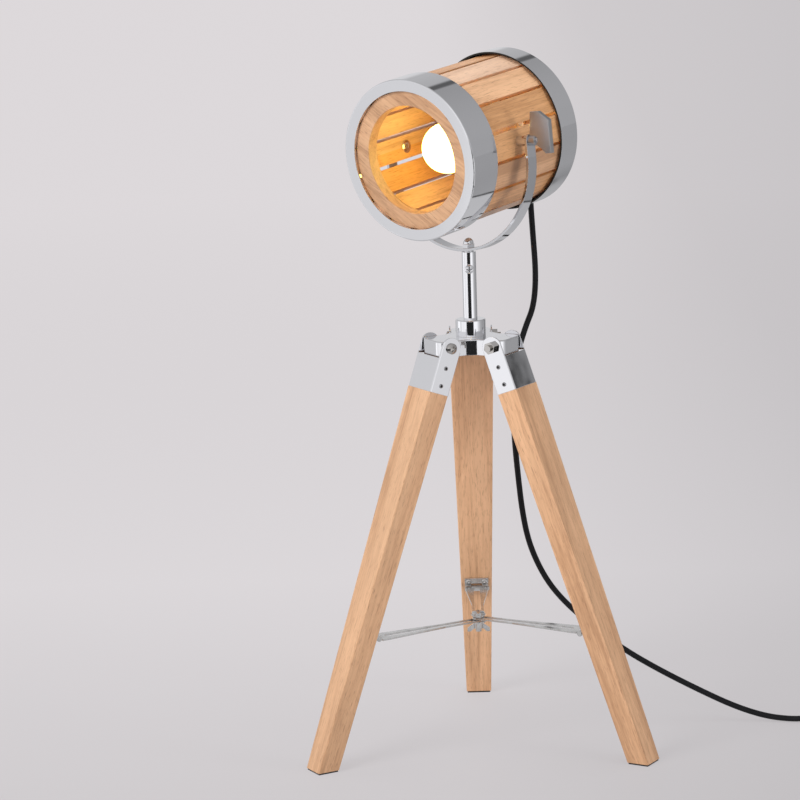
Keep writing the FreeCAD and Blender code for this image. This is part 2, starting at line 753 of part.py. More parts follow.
def build_yoke():
    """Bent strap that turns on the post, with its stem, its nut and the two wing knobs."""
    outer = yoke_half_wide + s.yoke_sheet
    inner = yoke_half_wide
    bend = -s.yoke_straight
    strap = Piece("yoke_bow")
    bow = strap.outline("XZ_Plane")
    bow.closed((-outer, 0), (-outer, bend), (0, bend - outer, outer), (outer, bend, outer),
               (outer, 0), (inner, 0), (inner, bend), (0, bend - inner, -inner),
               (-inner, bend, -inner), (-inner, 0))
    strap.pad(bow, s.yoke_strap_wide, both=True)
    for side in (inner, -outer):
        end = strap.outline("YZ_Plane", side)
        end.circle(0, 0, s.yoke_strap_wide / 2)
        strap.pad(end, s.yoke_sheet)
    pivots = strap.outline("YZ_Plane")
    pivots.circle(0, 0, s.pivot_bolt_radius + s.running_gap)
    strap.pocket(pivots, outer * 2 + s.overrun)
    foot = at(z=-yoke_drop) * at(axis=AXIS_Y, angle=s.yoke_lean)
    hole = doc.addObject("Part::Cylinder", "yoke_stud_hole")
    hole.setExpression("Radius", (s.stem_stud_radius + s.seat_gap).text)
    hole.setExpression("Height", (s.yoke_sheet * 4).text)
    hole.Placement = foot * at(z=s.yoke_sheet * -2)
    seat = doc.addObject("Part::Cylinder", "yoke_nut_seat")
    seat.setExpression("Radius", (s.acorn_flats / root(as_size(3)) + s.running_gap).text)
    seat.setExpression("Height", s.yoke_sheet.text)
    seat.Placement = foot * at(z=-s.seat_gap)
    under = doc.addObject("Part::Cylinder", "yoke_stem_seat")
    under.setExpression("Radius", (stem_radius + s.running_gap).text)
    under.setExpression("Height", (s.yoke_sheet * 2).text)
    under.Placement = foot * at(z=s.yoke_sheet * -3)
    away = doc.addObject("Part::MultiFuse", "yoke_foot_cuts")
    away.Shapes = [hole, seat, under]
    whole = doc.addObject("Part::Cut", "yoke_strap")
    whole.Label = "yoke_strap"
    whole.Base = strap.body
    whole.Tool = away
    whole.Placement = YOKE
    NODES["yoke_strap"] = whole

    stem = Piece("yoke_stem", TRIPOD * at(angle=-s.heading))
    rod = stem.outline("XZ_Plane")
    stud_top = yoke_low + s.yoke_sheet + s.stem_stud_high
    rod.closed((0, post_top - s.stem_long), (stem_radius, post_top - s.stem_long),
               (stem_radius, yoke_low), (s.stem_stud_radius, yoke_low),
               (s.stem_stud_radius, stud_top), (0, stud_top))
    stem.turned(rod)

    nut = Piece("yoke_acorn_nut", YOKE_FOOT * at(z=-s.seat_gap))
    base = nut.outline()
    base.hexagon(s.acorn_flats)
    nut.pad(base, s.acorn_hex_high)
    dome = nut.outline("XZ_Plane")
    shoulder = s.acorn_hex_high + s.acorn_neck
    dome.closed((0, s.acorn_hex_high / 2), (s.acorn_dome_radius, s.acorn_hex_high / 2),
                (s.acorn_dome_radius, shoulder),
                (0, shoulder + s.acorn_dome_radius, s.acorn_dome_radius))
    nut.turned(dome)
    bore = nut.outline()
    bore.circle(0, 0, s.stem_stud_radius + s.seat_gap)
    nut.pocket(bore, s.acorn_bore_deep, both=False, back=True)

    for name, turn in (("right", 0), ("left", 180)):
        knob = Piece(f"pivot_knob_{name}", YOKE * at(angle=turn) * at(outer + s.running_gap))
        boss = knob.outline("YZ_Plane")
        boss.circle(0, 0, s.knob_boss_radius)
        knob.pad(boss, s.knob_boss_long)
        wing = knob.outline("XZ_Plane")
        long = s.knob_wing_long
        root_high = s.knob_boss_radius * KNOB_ROOT_SHARE
        near, past = (long * share for share in FAN_ROOT_SHARES)
        low = [(long * out, -s.knob_wing_down * down) for out, down in FAN_LOW_SHARES]
        top = [(long * out, s.knob_wing_up * up) for out, up in FAN_TOP_SHARES]
        wing.closed((near, -root_high), (past, -root_high), *low, *top, (near, root_high))
        knob.pad(wing, s.knob_wing_thick, both=True)
        thread = knob.outline("YZ_Plane")
        thread.circle(0, 0, s.pivot_bolt_radius + s.running_gap)
        knob.pocket(thread, s.knob_thread_long, both=False, back=True)


# How far in the middle of a hoop's blunted edge lies, as a share of the edge
EDGE_SHARE = 0.3


def build_head():
    """Barrel of staves between two hoops, the lamp holder with its bulb, and the pivots."""
    narrow = s.stave_gap / 2 / cosine(stave_half_turn)
    wide_out = s.stave_out * stave_slant - narrow
    wide_in = stave_in * stave_slant - narrow
    staves = Piece("staves", DRUM)
    stave = staves.outline(lift=-stave_back)
    stave.closed((stave_in, -wide_in), (s.stave_out, -wide_out), (s.stave_out, wide_out),
                 (stave_in, wide_in))
    first = staves.pad(stave, stave_back + stave_front)
    staves.around(stave, [first], s.stave_count)
    pivots = staves.outline("YZ_Plane")
    pivots.circle(0, 0, s.pivot_bolt_radius + s.seat_gap)
    staves.pocket(pivots, s.stave_out * 2 + s.overrun)

    front = Piece("front_hoop", DRUM)
    profile = front.outline("XZ_Plane")
    edge = s.hoop_edge
    nick = edge * EDGE_SHARE
    profile.closed((hoop_radius, s.mouth_out - s.front_band_wide), (hoop_radius, s.mouth_out - edge),
                   (hoop_radius - nick, s.mouth_out - nick), (hoop_radius - edge, s.mouth_out),
                   (lip_radius, s.mouth_out), (lip_radius, stave_front),
                   (band_in, stave_front), (band_in, s.mouth_out - s.front_band_wide))
    front.turned(profile)
    rear = Piece("rear_hoop", DRUM)
    profile = rear.outline("XZ_Plane")
    profile.closed((hoop_radius, s.rear_band_wide - s.back_out),
                   (band_in, s.rear_band_wide - s.back_out), (band_in, -stave_back),
                   (lip_radius, -stave_back), (lip_radius, -s.back_out),
                   (hoop_radius - edge, -s.back_out), (hoop_radius - nick, nick - s.back_out),
                   (hoop_radius, edge - s.back_out))
    rear.turned(profile)

    ring = Piece("front_wood_ring", DRUM)
    section = ring.outline("XZ_Plane")
    ring_out = stave_in - s.ring_gap
    section.rectangle(ring_out - s.front_ring_wide, ring_front - s.front_ring_thick, ring_out, ring_front)
    ring.turned(section)
    disc = Piece("rear_wood_disc", DRUM)
    plate = disc.outline(lift=-disc_back)
    plate.circle(0, 0, stave_in - s.ring_gap)
    plate.circle(0, -s.gland_drop, s.cord_hole_radius)
    disc.pad(plate, s.rear_disc_thick)

    holder = Piece("lamp_holder", DRUM * at(0, 0, -disc_front))
    profile = holder.outline("XZ_Plane")
    socket = s.cap_radius + s.holder_bore_gap
    top = s.holder_long
    floor = top - s.holder_socket_deep
    profile.closed((0, 0), (s.holder_flange_radius, 0),
                   (s.holder_flange_radius, s.holder_flange_thick),
                   (s.holder_radius, s.holder_flange_thick), (s.holder_radius, top),
                   (socket, top), (socket, floor), (0, floor))
    holder.turned(profile)

    seat = top - disc_front - s.holder_socket_deep
    cap_low = seat + s.cap_contact_high
    cap_top = cap_low + s.cap_long
    cap = Piece("bulb_cap", DRUM)
    profile = cap.outline("XZ_Plane")
    profile.closed((0, seat), (s.cap_contact_radius, seat), (s.cap_radius, cap_low),
                   (s.cap_radius, cap_top), (0, cap_top))
    cap.turned(profile)
    glass = Piece("bulb_glass", DRUM)
    profile = glass.outline("XZ_Plane")
    shoulder = s.bulb_shoulder_radius
    fall = root(s.bulb_radius * s.bulb_radius - shoulder * shoulder)
    profile.closed((0, cap_top), (s.cap_radius, cap_top),
                   (shoulder, s.bulb_centre_out - fall),
                   (s.bulb_radius, s.bulb_centre_out, s.bulb_radius),
                   (0, s.bulb_centre_out + s.bulb_radius, s.bulb_radius))
    glass.turned(profile)

    reach = yoke_half_wide + s.yoke_sheet + s.running_gap + s.knob_thread_long
    bolts = []
    spacers = []
    for side in (1, -1):
        bolt = screw(f"pivot_bolt_{side + 1}", s.pivot_bolt_radius, reach - stave_in - s.running_gap,
                     s.pivot_head_radius, s.pivot_head_high)
        bolt.body.Placement = at(stave_in * side, 0, 0, AXIS_Y, -90 * side)
        bolts.append(bolt)
        spacer = Piece(f"pivot_spacer_{side + 1}")
        tube = spacer.outline("YZ_Plane", s.stave_out if side > 0 else s.running_gap - yoke_half_wide)
        tube.circle(0, 0, s.spacer_radius)
        tube.circle(0, 0, s.pivot_bolt_radius + s.seat_gap)
        spacer.pad(tube, yoke_half_wide - s.stave_out - s.running_gap)
        spacers.append(spacer)
    group("pivot_bolts", bolts, HEAD)
    group("pivot_spacers", spacers, HEAD)


GLAND = DRUM * at(0, -s.gland_drop, -disc_back)
GLAND_TURN = at(axis=AXIS_X, angle=as_size(180) - s.gland_angle)


def build_gland():
    """Flange on the rear disc with the slanting tapered sleeve of the cord."""
    base = Piece("gland_base")
    flange = base.outline()
    flange.circle(0, 0, s.gland_flange_radius)
    base.pad(flange, s.gland_flange_thick, back=True)
    sleeve = doc.addObject("Part::Cone", "gland_sleeve")
    sleeve.setExpression("Radius1", s.gland_root_radius.text)
    sleeve.setExpression("Radius2", s.gland_tip_radius.text)
    sleeve.setExpression("Height", s.gland_long.text)
    sleeve.Placement = at(0, 0, -s.overrun / 2) * GLAND_TURN
    whole = doc.addObject("Part::MultiFuse", "gland_whole")
    whole.Shapes = [base.body, sleeve]
    ahead = doc.addObject("Part::Cylinder", "gland_ahead")
    ahead.setExpression("Radius", (s.gland_flange_radius * 2).text)
    ahead.setExpression("Height", s.gland_long.text)
    gland = doc.addObject("Part::Cut", "cord_gland")
    gland.Label = "cord_gland"
    gland.Base = whole
    gland.Tool = ahead
    gland.Placement = GLAND
    NODES["cord_gland"] = gland


def place(x, y, z):
    """A point in the frame of the tripod."""
    return Vector(as_size(x).value, as_size(y).value, as_size(z).value)


def biarc(start, leaving, stop, arriving):
    """Two arcs that join two points and their directions smoothly."""
    across = stop - start
    both = leaving + arriving
    level = 2 * (1 - leaving.dot(arriving))
    if level < 1e-9:
        reach = across.dot(across) / (4 * across.dot(leaving))
    else:
        lean = across.dot(both)
        reach = (math.sqrt(lean * lean + level * across.dot(across)) - lean) / level
    first, second = start + leaving * reach, stop - arriving * reach
    meet = (first + second) * 0.5
    return [bent(start, first, meet), bent(meet, second, stop)]


def bent(start, corner, stop):
    """The arc between two points whose tangents meet at the corner."""
    middle = (start + stop) * 0.5
    half = (stop - start).Length / 2
    rise = corner - middle
    if rise.Length < 1e-9:
        return Part.LineSegment(start, stop).toShape()
    turn = math.atan2(rise.Length, half)
    return Part.Arc(start, middle + rise.normalize() * (half * math.tan(turn / 2)), stop).toShape()


def tube(label, edges, frame):
    """One round cord along a path of joined edges."""
    path = Part.Wire(edges)
    first = edges[0]
    leaving = first.tangentAt(first.FirstParameter)
    ring = Part.Circle(first.valueAt(first.FirstParameter), leaving, s.cord_radius.value)
    shape = path.makePipeShell([Part.Wire([ring.toShape()])], True, False)
    expected = math.pi * s.cord_radius.value ** 2 * path.Length
    print(f"{label}: {path.Length:.1f} long, volume {shape.Volume:.0f} for {expected:.0f}")
    made = doc.addObject("Part::Feature", label)
    made.Label = label
    made.Shape = shape
    made.Placement = frame
    NODES[label] = made
    return made


def route(label, points, frame=TRIPOD):
    """A cord along straight runs, joined by arcs as large as the runs allow."""
    edges = []
    radii = []
    here = points[0]
    for before, corner, after in zip(points, points[1:], points[2:]):
        back = before - corner
        ahead = after - corner
        cut = s.cord_share.value * min(back.Length, ahead.Length)
        turn = math.pi - back.getAngle(ahead)
        radii.append(cut / math.tan(turn / 2))
        start = corner + back.normalize() * cut
        stop = corner + ahead.normalize() * cut
        edges.append(Part.LineSegment(here, start).toShape())
        edges.append(bent(start, corner, stop))
        here = stop
    edges.append(Part.LineSegment(here, points[-1]).toShape())
    print(f"{label}: radii", " ".join(f"{radius:.0f}" for radius in radii))
    print(f"{label}: runs", " ".join(f"{(b - a).Length:.0f}" for a, b in zip(points, points[1:])))
    return tube(label, edges, frame)


# The run out of the gland as a share of the gland's length, the runs above and below the
# gate as shares of one step, and the fall from the switch to the coil as shares of it all
STRAIGHT_SHARE = 1.7
ABOVE_GATE_SHARE = 1.4
BELOW_GATE_SHARE = 1.3
LINK_FALL_SHARES = (0, 0, 0.3, 0.7, 1, 1)
LINK_HEADINGS = (0, 30, 60, 90, 90)


def build_cord():
    """Flexible cord from the gland past the hub to the switch, the coil and the plug."""
    lying = s.cord_radius + s.cord_off_floor
    hub = s.hinge_high
    to_tripod = TRIPOD.inverse() * GLAND * at(0, 0, -s.overrun / 2) * GLAND_TURN
    tip = to_tripod.multVec(Vector(0, 0, s.gland_long.value))
    straight = to_tripod.multVec(Vector(0, 0, s.gland_long.value * STRAIGHT_SHARE))
    gate = place(46.5, 27, hub - 6.5)
    step = place(-3.5, -4.2, -9.8)
    upper = [tip, straight, tip + place(5.8, 6.4, -38), place(61.2, 71.5, hub + 92),
             place(63.2, 60, hub + 52), place(60, 46.5, hub + 24), gate - step * ABOVE_GATE_SHARE, gate]
    route("cord_upper", upper)

    nub = s.switch_x - s.switch_long / 2 - s.switch_nub_long
    lower = [gate, gate + step * BELOW_GATE_SHARE, place(39, 22.6, hub - 40), place(37.8, 22, hub - 74),
             place(38.9, 22.5, hub - 106), place(41.4, 23.9, hub - 138), place(44, 25.2, hub - 166),
             place(48.6, 28, hub - 194), place(56.2, 32.4, hub - 217), place(66.6, 38.5, hub - 239),
             place(79.5, 46, hub - 258), place(96, 53, 106), place(117, 57, 86.5),
             place(142, 58.6, 66.5), place(173, 57, 47.5), place(208, 51, 29.5),
             place(242, 43.2, 14), place(270, 36.4, 5.4), place(292, 31, 3.1),
             place(309, 27.8, 3.6), place(nub - 14, 26.3, s.switch_split - 1.2),
             place(nub - 6.5, s.switch_y, s.switch_split), place(nub, s.switch_y, s.switch_split)]
    route("cord_lower", lower)

    diameter = s.cord_radius * 2
    corner = place(s.switch_x + s.switch_long / 2 + s.switch_nub_long, s.switch_y, s.switch_split)
    link = [corner]
    for heading in LINK_HEADINGS:
        way = as_size(heading)
        corner = corner + place(s.link_run * cosine(way), s.link_run * sine(way), 0)
        link.append(corner)
    fall = s.switch_split - lying
    for point, share in zip(link, LINK_FALL_SHARES):
        point.z = (s.switch_split - fall * share).value
    route("cord_link", link)

    reverse = s.coil_turns.value / 2
    entry = place(cord_side, coil_centre_y, lying)

    def turn_point(count):
        swing = math.tau * count
        radius = s.coil_inner_radius.value + s.coil_pitch.value * abs(count - reverse)
        climbed = min(max((count - reverse) * 2 + 0.5, 0), 1) * s.coil_climb.value
        return place(coil_centre_x.value + radius * math.cos(swing),
                     coil_centre_y.value + radius * math.sin(swing), lying.value + climbed)

    def turn_way(count):
        small = 1e-4
        return (turn_point(count + small) - turn_point(count - small)).normalize()

    quarters = int(s.coil_turns.value * 4)
    points = [turn_point(number / 4) for number in range(quarters + 1)]
    ways = [turn_way(number / 4) for number in range(quarters + 1)]
    ways[0] = ways[-1] = Vector(0, 1, 0)
    for number in (quarters // 2 - 1, quarters // 2 + 1):
        ways[number].z = 0
        ways[number].normalize()
    edges = [Part.LineSegment(entry - Vector(0, diameter.value, 0), entry).toShape()]
    for number in range(quarters):
        edges += biarc(points[number], ways[number], points[number + 1], ways[number + 1])
    leave = place(cord_side, coil_centre_y + s.coil_leave_long, plug_middle)
    edges += biarc(points[-1], ways[-1], leave, ways[-1])
    edges.append(Part.LineSegment(leave, leave + Vector(0, diameter.value, 0)).toShape())
    tube("cord_coil", edges, TRIPOD)
    spots = []
    for edge in edges:
        whole = edge.LastParameter - edge.FirstParameter
        spots += [edge.valueAt(edge.FirstParameter + whole * part / 24) for part in range(24)]
    run = 0.0
    runs = [0.0]
    for one, two in zip(spots, spots[1:]):
        run += (two - one).Length
        runs.append(run)
    least = min((spots[one] - spots[two]).Length for one in range(0, len(spots), 2)
                for two in range(one + 1, len(spots), 2) if runs[two] - runs[one] > diameter.value * 4)
    print(f"cord_coil: least gap to itself {least - diameter.value:.2f}")


def build_switch():
    """Inline switch of two shells with a rocker, lying on the floor."""
    frame = TRIPOD * at(s.switch_x, s.switch_y)
    half_long = s.switch_long / 2
    half_wide = s.switch_wide / 2
    bend = s.switch_corner
    inner_x = half_long - bend
    inner_y = half_wide - bend

    def plan(outline):
        outline.closed((-inner_x, -half_wide, bend), (inner_x, -half_wide),
                       (half_long, -inner_y, bend), (half_long, inner_y),
                       (inner_x, half_wide, bend), (-inner_x, half_wide),
                       (-half_long, inner_y, bend), (-half_long, -inner_y))

    lower = Piece("switch_lower_shell")
    shape = lower.outline()
    plan(shape)
    lower.pad(shape, s.switch_split)
    lower.rounded(s.switch_edge, lambda edge: all(abs(v.Z) < 1e-6 for v in edge.Vertexes))
    nubs = []
    for side in (1, -1):
        nub = Piece(f"switch_nub_{side + 1}")
        profile = nub.outline("XZ_Plane")
        profile.closed((0, 0), (s.switch_nub_root, 0), (s.switch_nub_tip, s.switch_nub_long),
                       (0, s.switch_nub_long))
        nub.turned(profile)
        nub.body.Placement = at(half_long * side, 0, s.switch_split, AXIS_Y, 90 * side)
        nubs.append(nub.body)
    whole = doc.addObject("Part::MultiFuse", "switch_lower")
    whole.Label = "switch_lower"
    whole.Shapes = [lower.body] + nubs
    whole.Placement = frame
    NODES["switch_lower"] = whole

    upper = Piece("switch_upper", frame)
    shape = upper.outline(lift=s.switch_split)
    plan(shape)
    upper.pad(shape, s.switch_high - s.switch_split)
    top = s.switch_high.value
    upper.rounded(s.switch_edge, lambda edge: all(abs(v.Z - top) < 1e-6 for v in edge.Vertexes))
    window = upper.outline(lift=s.switch_high)
    open_half = s.rocker_wide / 2 + s.rocker_gap
    window.rectangle(-s.rocker_window_half, -open_half, s.rocker_window_half, open_half)
    upper.pocket(window, s.switch_high * 2)
    axle_half = open_half + s.rocker_axle_past
    bearing = upper.outline("XZ_Plane")
    bearing.circle(0, s.rocker_pivot_high, s.rocker_axle_radius + s.running_gap)
    upper.pocket(bearing, axle_half * 2 + s.running_gap * 2)

    pivot = frame * at(0, 0, s.rocker_pivot_high, AXIS_Y, s.rocker_tilt)
    rocker = Piece("switch_rocker", pivot)
    profile = rocker.outline("XZ_Plane")
    profile.closed((-s.rocker_half_flat, -s.rocker_down), (s.rocker_half_flat, -s.rocker_down),
                   (s.rocker_half_long, 0), (s.rocker_top_half, s.rocker_up),
                   (0, s.rocker_middle), (-s.rocker_top_half, s.rocker_up),
                   (-s.rocker_half_long, 0))
    rocker.pad(profile, s.rocker_wide, both=True)
    axle = rocker.outline("XZ_Plane")
    axle.circle(0, 0, s.rocker_axle_radius)
    rocker.pad(axle, axle_half * 2, both=True)


def build_plug():
    """Flat two-pin plug with its strain relief, beside the coil."""
    rear = coil_centre_y + s.coil_leave_long + s.cord_radius * 2
    frame = TRIPOD * at(cord_side, rear, plug_middle)
    back = s.plug_sleeve_long
    front = back + s.plug_long
    half_tail = s.plug_tail_wide / 2
    half = s.plug_wide / 2
    body = Piece("plug_shell")
    shape = body.outline(lift=-s.plug_thick / 2)
    shape.closed((-half_tail, back), (half_tail, back), (half, back + s.plug_waist_long),
                 (half, front), (-half, front), (-half, back + s.plug_waist_long))
    body.pad(shape, s.plug_thick)
    body.rounded(s.plug_edge, lambda edge: abs(edge.Vertexes[0].Y - edge.Vertexes[-1].Y) > 1e-3)
    ways = body.outline("XZ_Plane", -front)
    for aside in (s.plug_pin_apart / 2, -s.plug_pin_apart / 2):
        ways.circle(aside, 0, s.plug_pin_root_radius + s.seat_gap)
    body.pocket(ways, s.plug_pin_buried * 2)
    sleeve = doc.addObject("Part::Cone", "plug_sleeve")
    sleeve.setExpression("Radius1", s.plug_sleeve_tip.text)
    sleeve.setExpression("Radius2", s.plug_sleeve_root.text)
    sleeve.setExpression("Height", (s.plug_sleeve_long + s.overrun).text)
    sleeve.Placement = at(axis=AXIS_X, angle=-90)
    whole = doc.addObject("Part::MultiFuse", "plug_body")
    whole.Label = "plug_body"
    whole.Shapes = [body.body, sleeve]
    whole.Placement = frame
    NODES["plug_body"] = whole
    pins = []
    for aside in (s.plug_pin_apart / 2, -s.plug_pin_apart / 2):
        pin = Piece(f"plug_pin_{len(pins)}")
        rod = pin.outline()
        buried = front - s.plug_pin_buried
        tip = front + s.plug_pin_long
        rod.closed((0, buried), (s.plug_pin_root_radius, buried), (s.plug_pin_root_radius, front),
                   (s.plug_pin_radius, front), (s.plug_pin_radius, tip - s.plug_pin_radius),
                   (0, tip, s.plug_pin_radius))
        pin.turned(rod)
        pin.body.Placement = at(aside)
        pins.append(pin)
    group("plug_pins", pins, frame)


build_hub()
build_post()
for leg in range(int(s.leg_count.value)):
    build_leg(leg)
    build_arm(leg)
build_centre()
build_yoke()
build_head()
build_gland()
build_switch()
build_plug()
build_cord()
doc.recompute()

for item in doc.Objects:
    if "Invalid" in item.State or "Error" in item.State:
        raise RuntimeError(f"{item.Name} is {item.State}")
for label, item in NODES.items():
    if item.Shape.isNull() or not item.Shape.isValid():
        raise RuntimeError(f"{label} has no valid shape")

os.makedirs("parts", exist_ok=True)
for label, item in NODES.items():
    item.Shape.exportStep(f"parts/{label}.step")
    solids = len(item.Shape.Solids)
    print(f"{label}: {solids} solid{'s' if solids > 1 else ''}, {item.Shape.Volume:.0f} cubic mm")
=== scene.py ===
import json
import math

import bmesh
import bpy
from mathutils import Matrix, Vector


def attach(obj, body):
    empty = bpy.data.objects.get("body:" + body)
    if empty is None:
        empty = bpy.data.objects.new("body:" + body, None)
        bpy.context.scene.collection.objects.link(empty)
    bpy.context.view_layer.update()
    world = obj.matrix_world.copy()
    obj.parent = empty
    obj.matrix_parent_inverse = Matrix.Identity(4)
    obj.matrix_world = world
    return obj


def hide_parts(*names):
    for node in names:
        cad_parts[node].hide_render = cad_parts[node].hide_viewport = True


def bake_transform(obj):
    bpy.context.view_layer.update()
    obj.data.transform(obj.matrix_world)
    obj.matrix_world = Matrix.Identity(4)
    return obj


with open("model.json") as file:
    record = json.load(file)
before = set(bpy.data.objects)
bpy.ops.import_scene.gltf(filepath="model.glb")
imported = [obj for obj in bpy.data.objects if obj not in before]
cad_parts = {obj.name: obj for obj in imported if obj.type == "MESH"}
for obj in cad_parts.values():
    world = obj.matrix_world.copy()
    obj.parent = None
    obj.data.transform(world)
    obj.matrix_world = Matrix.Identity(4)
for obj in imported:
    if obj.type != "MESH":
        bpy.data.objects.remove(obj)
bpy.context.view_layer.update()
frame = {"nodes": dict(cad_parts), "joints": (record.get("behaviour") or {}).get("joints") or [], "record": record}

# The post's foot, from the frame's origin
POST = Vector((0, -0.04025, 0))
LEGS = (1, 2, 3)

# Nod of the barrel in its yoke, and the number of its staves
NOD = math.radians(5.92)
STAVE_COUNT = 16

# The photograph's camera, about the post's foot
CAMERA_BACK = 2.98554
CAMERA_HIGH = 0.90587
CAMERA_ROUND = math.radians(-0.475)
CAMERA_YAW = math.radians(-1.294)
CAMERA_PITCH = math.radians(10.924)
CAMERA_ROLL = math.radians(-1.765)
CAMERA_REACH = 100
FOCAL_PIXELS = 3274.0
PHOTO_PIXELS = 800
SENSOR_MM = 36.0


def joint(name):
    """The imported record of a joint."""
    return next(item for item in frame["joints"] if item["name"] == name)


def basis(origin, x_axis, z_axis):
    """A frame with its Z axis along z_axis and its X axis as near x_axis as it can be."""
    up = Vector(z_axis).normalized()
    across = up.cross(Vector(x_axis)).normalized()
    ahead = across.cross(up)
    made = Matrix((ahead, across, up)).transposed().to_4x4()
    made.translation = Vector(origin)
    return made


def leg_frame(number):
    """Frame of a leg: origin on its hinge, Z up along the leg, X square to its outer face."""
    hinge = Vector(joint(f"leg_{number}_fold")["pos_m"])
    sideways = Vector(joint(f"leg_{number}_fold")["axis"])
    foot = next(m for m in frame["record"]["mounts"] if m["name"] == f"foot_{number}")
    return basis(hinge, sideways.cross(Vector((0, 0, 1))), hinge - Vector(foot["pos_m"]))


def drum_frame():
    """Frame of the barrel: origin between its pivots, X along them, Z out of its mouth."""
    side = Vector(joint("tilt")["axis"])
    yoke = basis(joint("tilt")["pos_m"], side, side.cross(Vector((0, 0, 1)).cross(side)))
    return yoke @ Matrix.Rotation(NOD + math.pi / 2, 4, "X")


def add(name, data):
    """A new object in the scene."""
    made = bpy.data.objects.new(name, data)
    bpy.context.scene.collection.objects.link(made)
    return made


DRUM = drum_frame()
LEG_FRAMES = {number: leg_frame(number) for number in LEGS}

# Sockets of the mix node that carry colours, and the stops that a new ramp has
MIX_ONE = 6
MIX_TWO = 7
MIX_RESULT = 2
READY_STOPS = 2

# Most values of a noise lie between these two
NOISE_LOW = 0.3
NOISE_HIGH = 0.7


class Nodes:
    """A node tree under construction, with short calls for what it uses."""

    def __init__(self, tree):
        self.tree = tree

    def node(self, kind, settings=None, **inputs):
        made = self.tree.nodes.new(kind)
        for name, value in (settings or {}).items():
            setattr(made, name, value)
        for name, value in inputs.items():
            self.feed(made.inputs[name.replace("_", " ")], value)
        return made

    def feed(self, socket, value):
        if isinstance(value, bpy.types.NodeSocket):
            self.tree.links.new(value, socket)
        else:
            socket.default_value = value

    def place(self, placed=Matrix.Identity(4), stretch=(1, 1, 1)):
        """Coordinates on the piece, in metres along a frame's axes, times a stretch."""
        where = self.node("ShaderNodeTexCoord").outputs["Object"]
        there, turn, _ = placed.decompose()
        local = self.node("ShaderNodeMapping", {"vector_type": "TEXTURE"}, Vector=where,
                          Location=there, Rotation=turn.to_euler())
        if stretch == (1, 1, 1):
            return local.outputs[0]
        return self.node("ShaderNodeMapping", Vector=local.outputs[0], Scale=stretch).outputs[0]

    def split(self, vector):
        """The three parts of a vector, by the names of the axes."""
        return self.node("ShaderNodeSeparateXYZ", Vector=vector).outputs

    def noise(self, vector, scale, detail=4.0, roughness=0.55, distortion=0.0):
        made = self.node("ShaderNodeTexNoise", Vector=vector, Scale=scale, Detail=detail,
                         Roughness=roughness, Distortion=distortion)
        return made.outputs["Fac"]

    def draw(self, number, low, high):
        """A random value between two bounds, the same one wherever the number is the same."""
        made = self.node("ShaderNodeTexWhiteNoise", {"noise_dimensions": "1D"}, W=number)
        return self.spread(made.outputs["Value"], 0, 1, low, high)

    def spread(self, value, low, high, to_low=0.0, to_high=1.0):
        made = self.node("ShaderNodeMapRange", Value=value)
        for name, number in (("From Min", low), ("From Max", high),
                             ("To Min", to_low), ("To Max", to_high)):
            self.feed(made.inputs[name], number)
        return made.outputs["Result"]

    def spread_noise(self, noise, to_low=0.0, to_high=1.0):
        return self.spread(noise, NOISE_LOW, NOISE_HIGH, to_low, to_high)

    def math(self, operation, one, two=0.0):
        made = self.node("ShaderNodeMath", {"operation": operation})
        self.feed(made.inputs[0], one)
        self.feed(made.inputs[1], two)
        return made.outputs[0]

    def mix(self, share, one, two, blend="MIX"):
        made = self.node("ShaderNodeMix", {"data_type": "RGBA", "blend_type": blend})
        self.feed(made.inputs["Factor"], share)
        self.feed(made.inputs[MIX_ONE], one)
        self.feed(made.inputs[MIX_TWO], two)
        return made.outputs[MIX_RESULT]

    def grey_of(self, tone):
        return self.node("ShaderNodeCombineColor", Red=tone, Green=tone, Blue=tone).outputs[0]

    def ramp(self, value, *stops):
        made = self.node("ShaderNodeValToRGB", Fac=value)
        elements = made.color_ramp.elements
        for number, (place, colour) in enumerate(stops):
            stop = elements[number] if number < READY_STOPS else elements.new(place)
            stop.position = place
            stop.color = (*colour, 1)
        return made.outputs["Color"]

    def blend(self, share, one, two):
        """One shader over another."""
        made = self.node("ShaderNodeMixShader", Fac=share)
        self.feed(made.inputs[1], one)
        self.feed(made.inputs[2], two)
        return made.outputs[0]

    def glow(self, colour):
        return self.node("ShaderNodeEmission", Color=colour).outputs[0]


class Look(Nodes):
    """A material under construction."""

    def __init__(self, name):
        self.material = bpy.data.materials.new(name)
        self.material.use_nodes = True
        super().__init__(self.material.node_tree)
        self.shader = self.tree.nodes["Principled BSDF"]

    def principled(self, **inputs):
        for name, value in inputs.items():
            self.feed(self.shader.inputs[name.replace("_", " ")], value)

    def bump(self, height, strength, distance, edge=0.0):
        """Relief over the surface, whose sharp edges are blunted by a radius."""
        made = self.node("ShaderNodeBump", Height=height, Strength=strength, Distance=distance)
        if edge:
            self.feed(made.inputs["Normal"], self.node("ShaderNodeBevel", Radius=edge).outputs[0])
        self.principled(Normal=made.outputs[0])


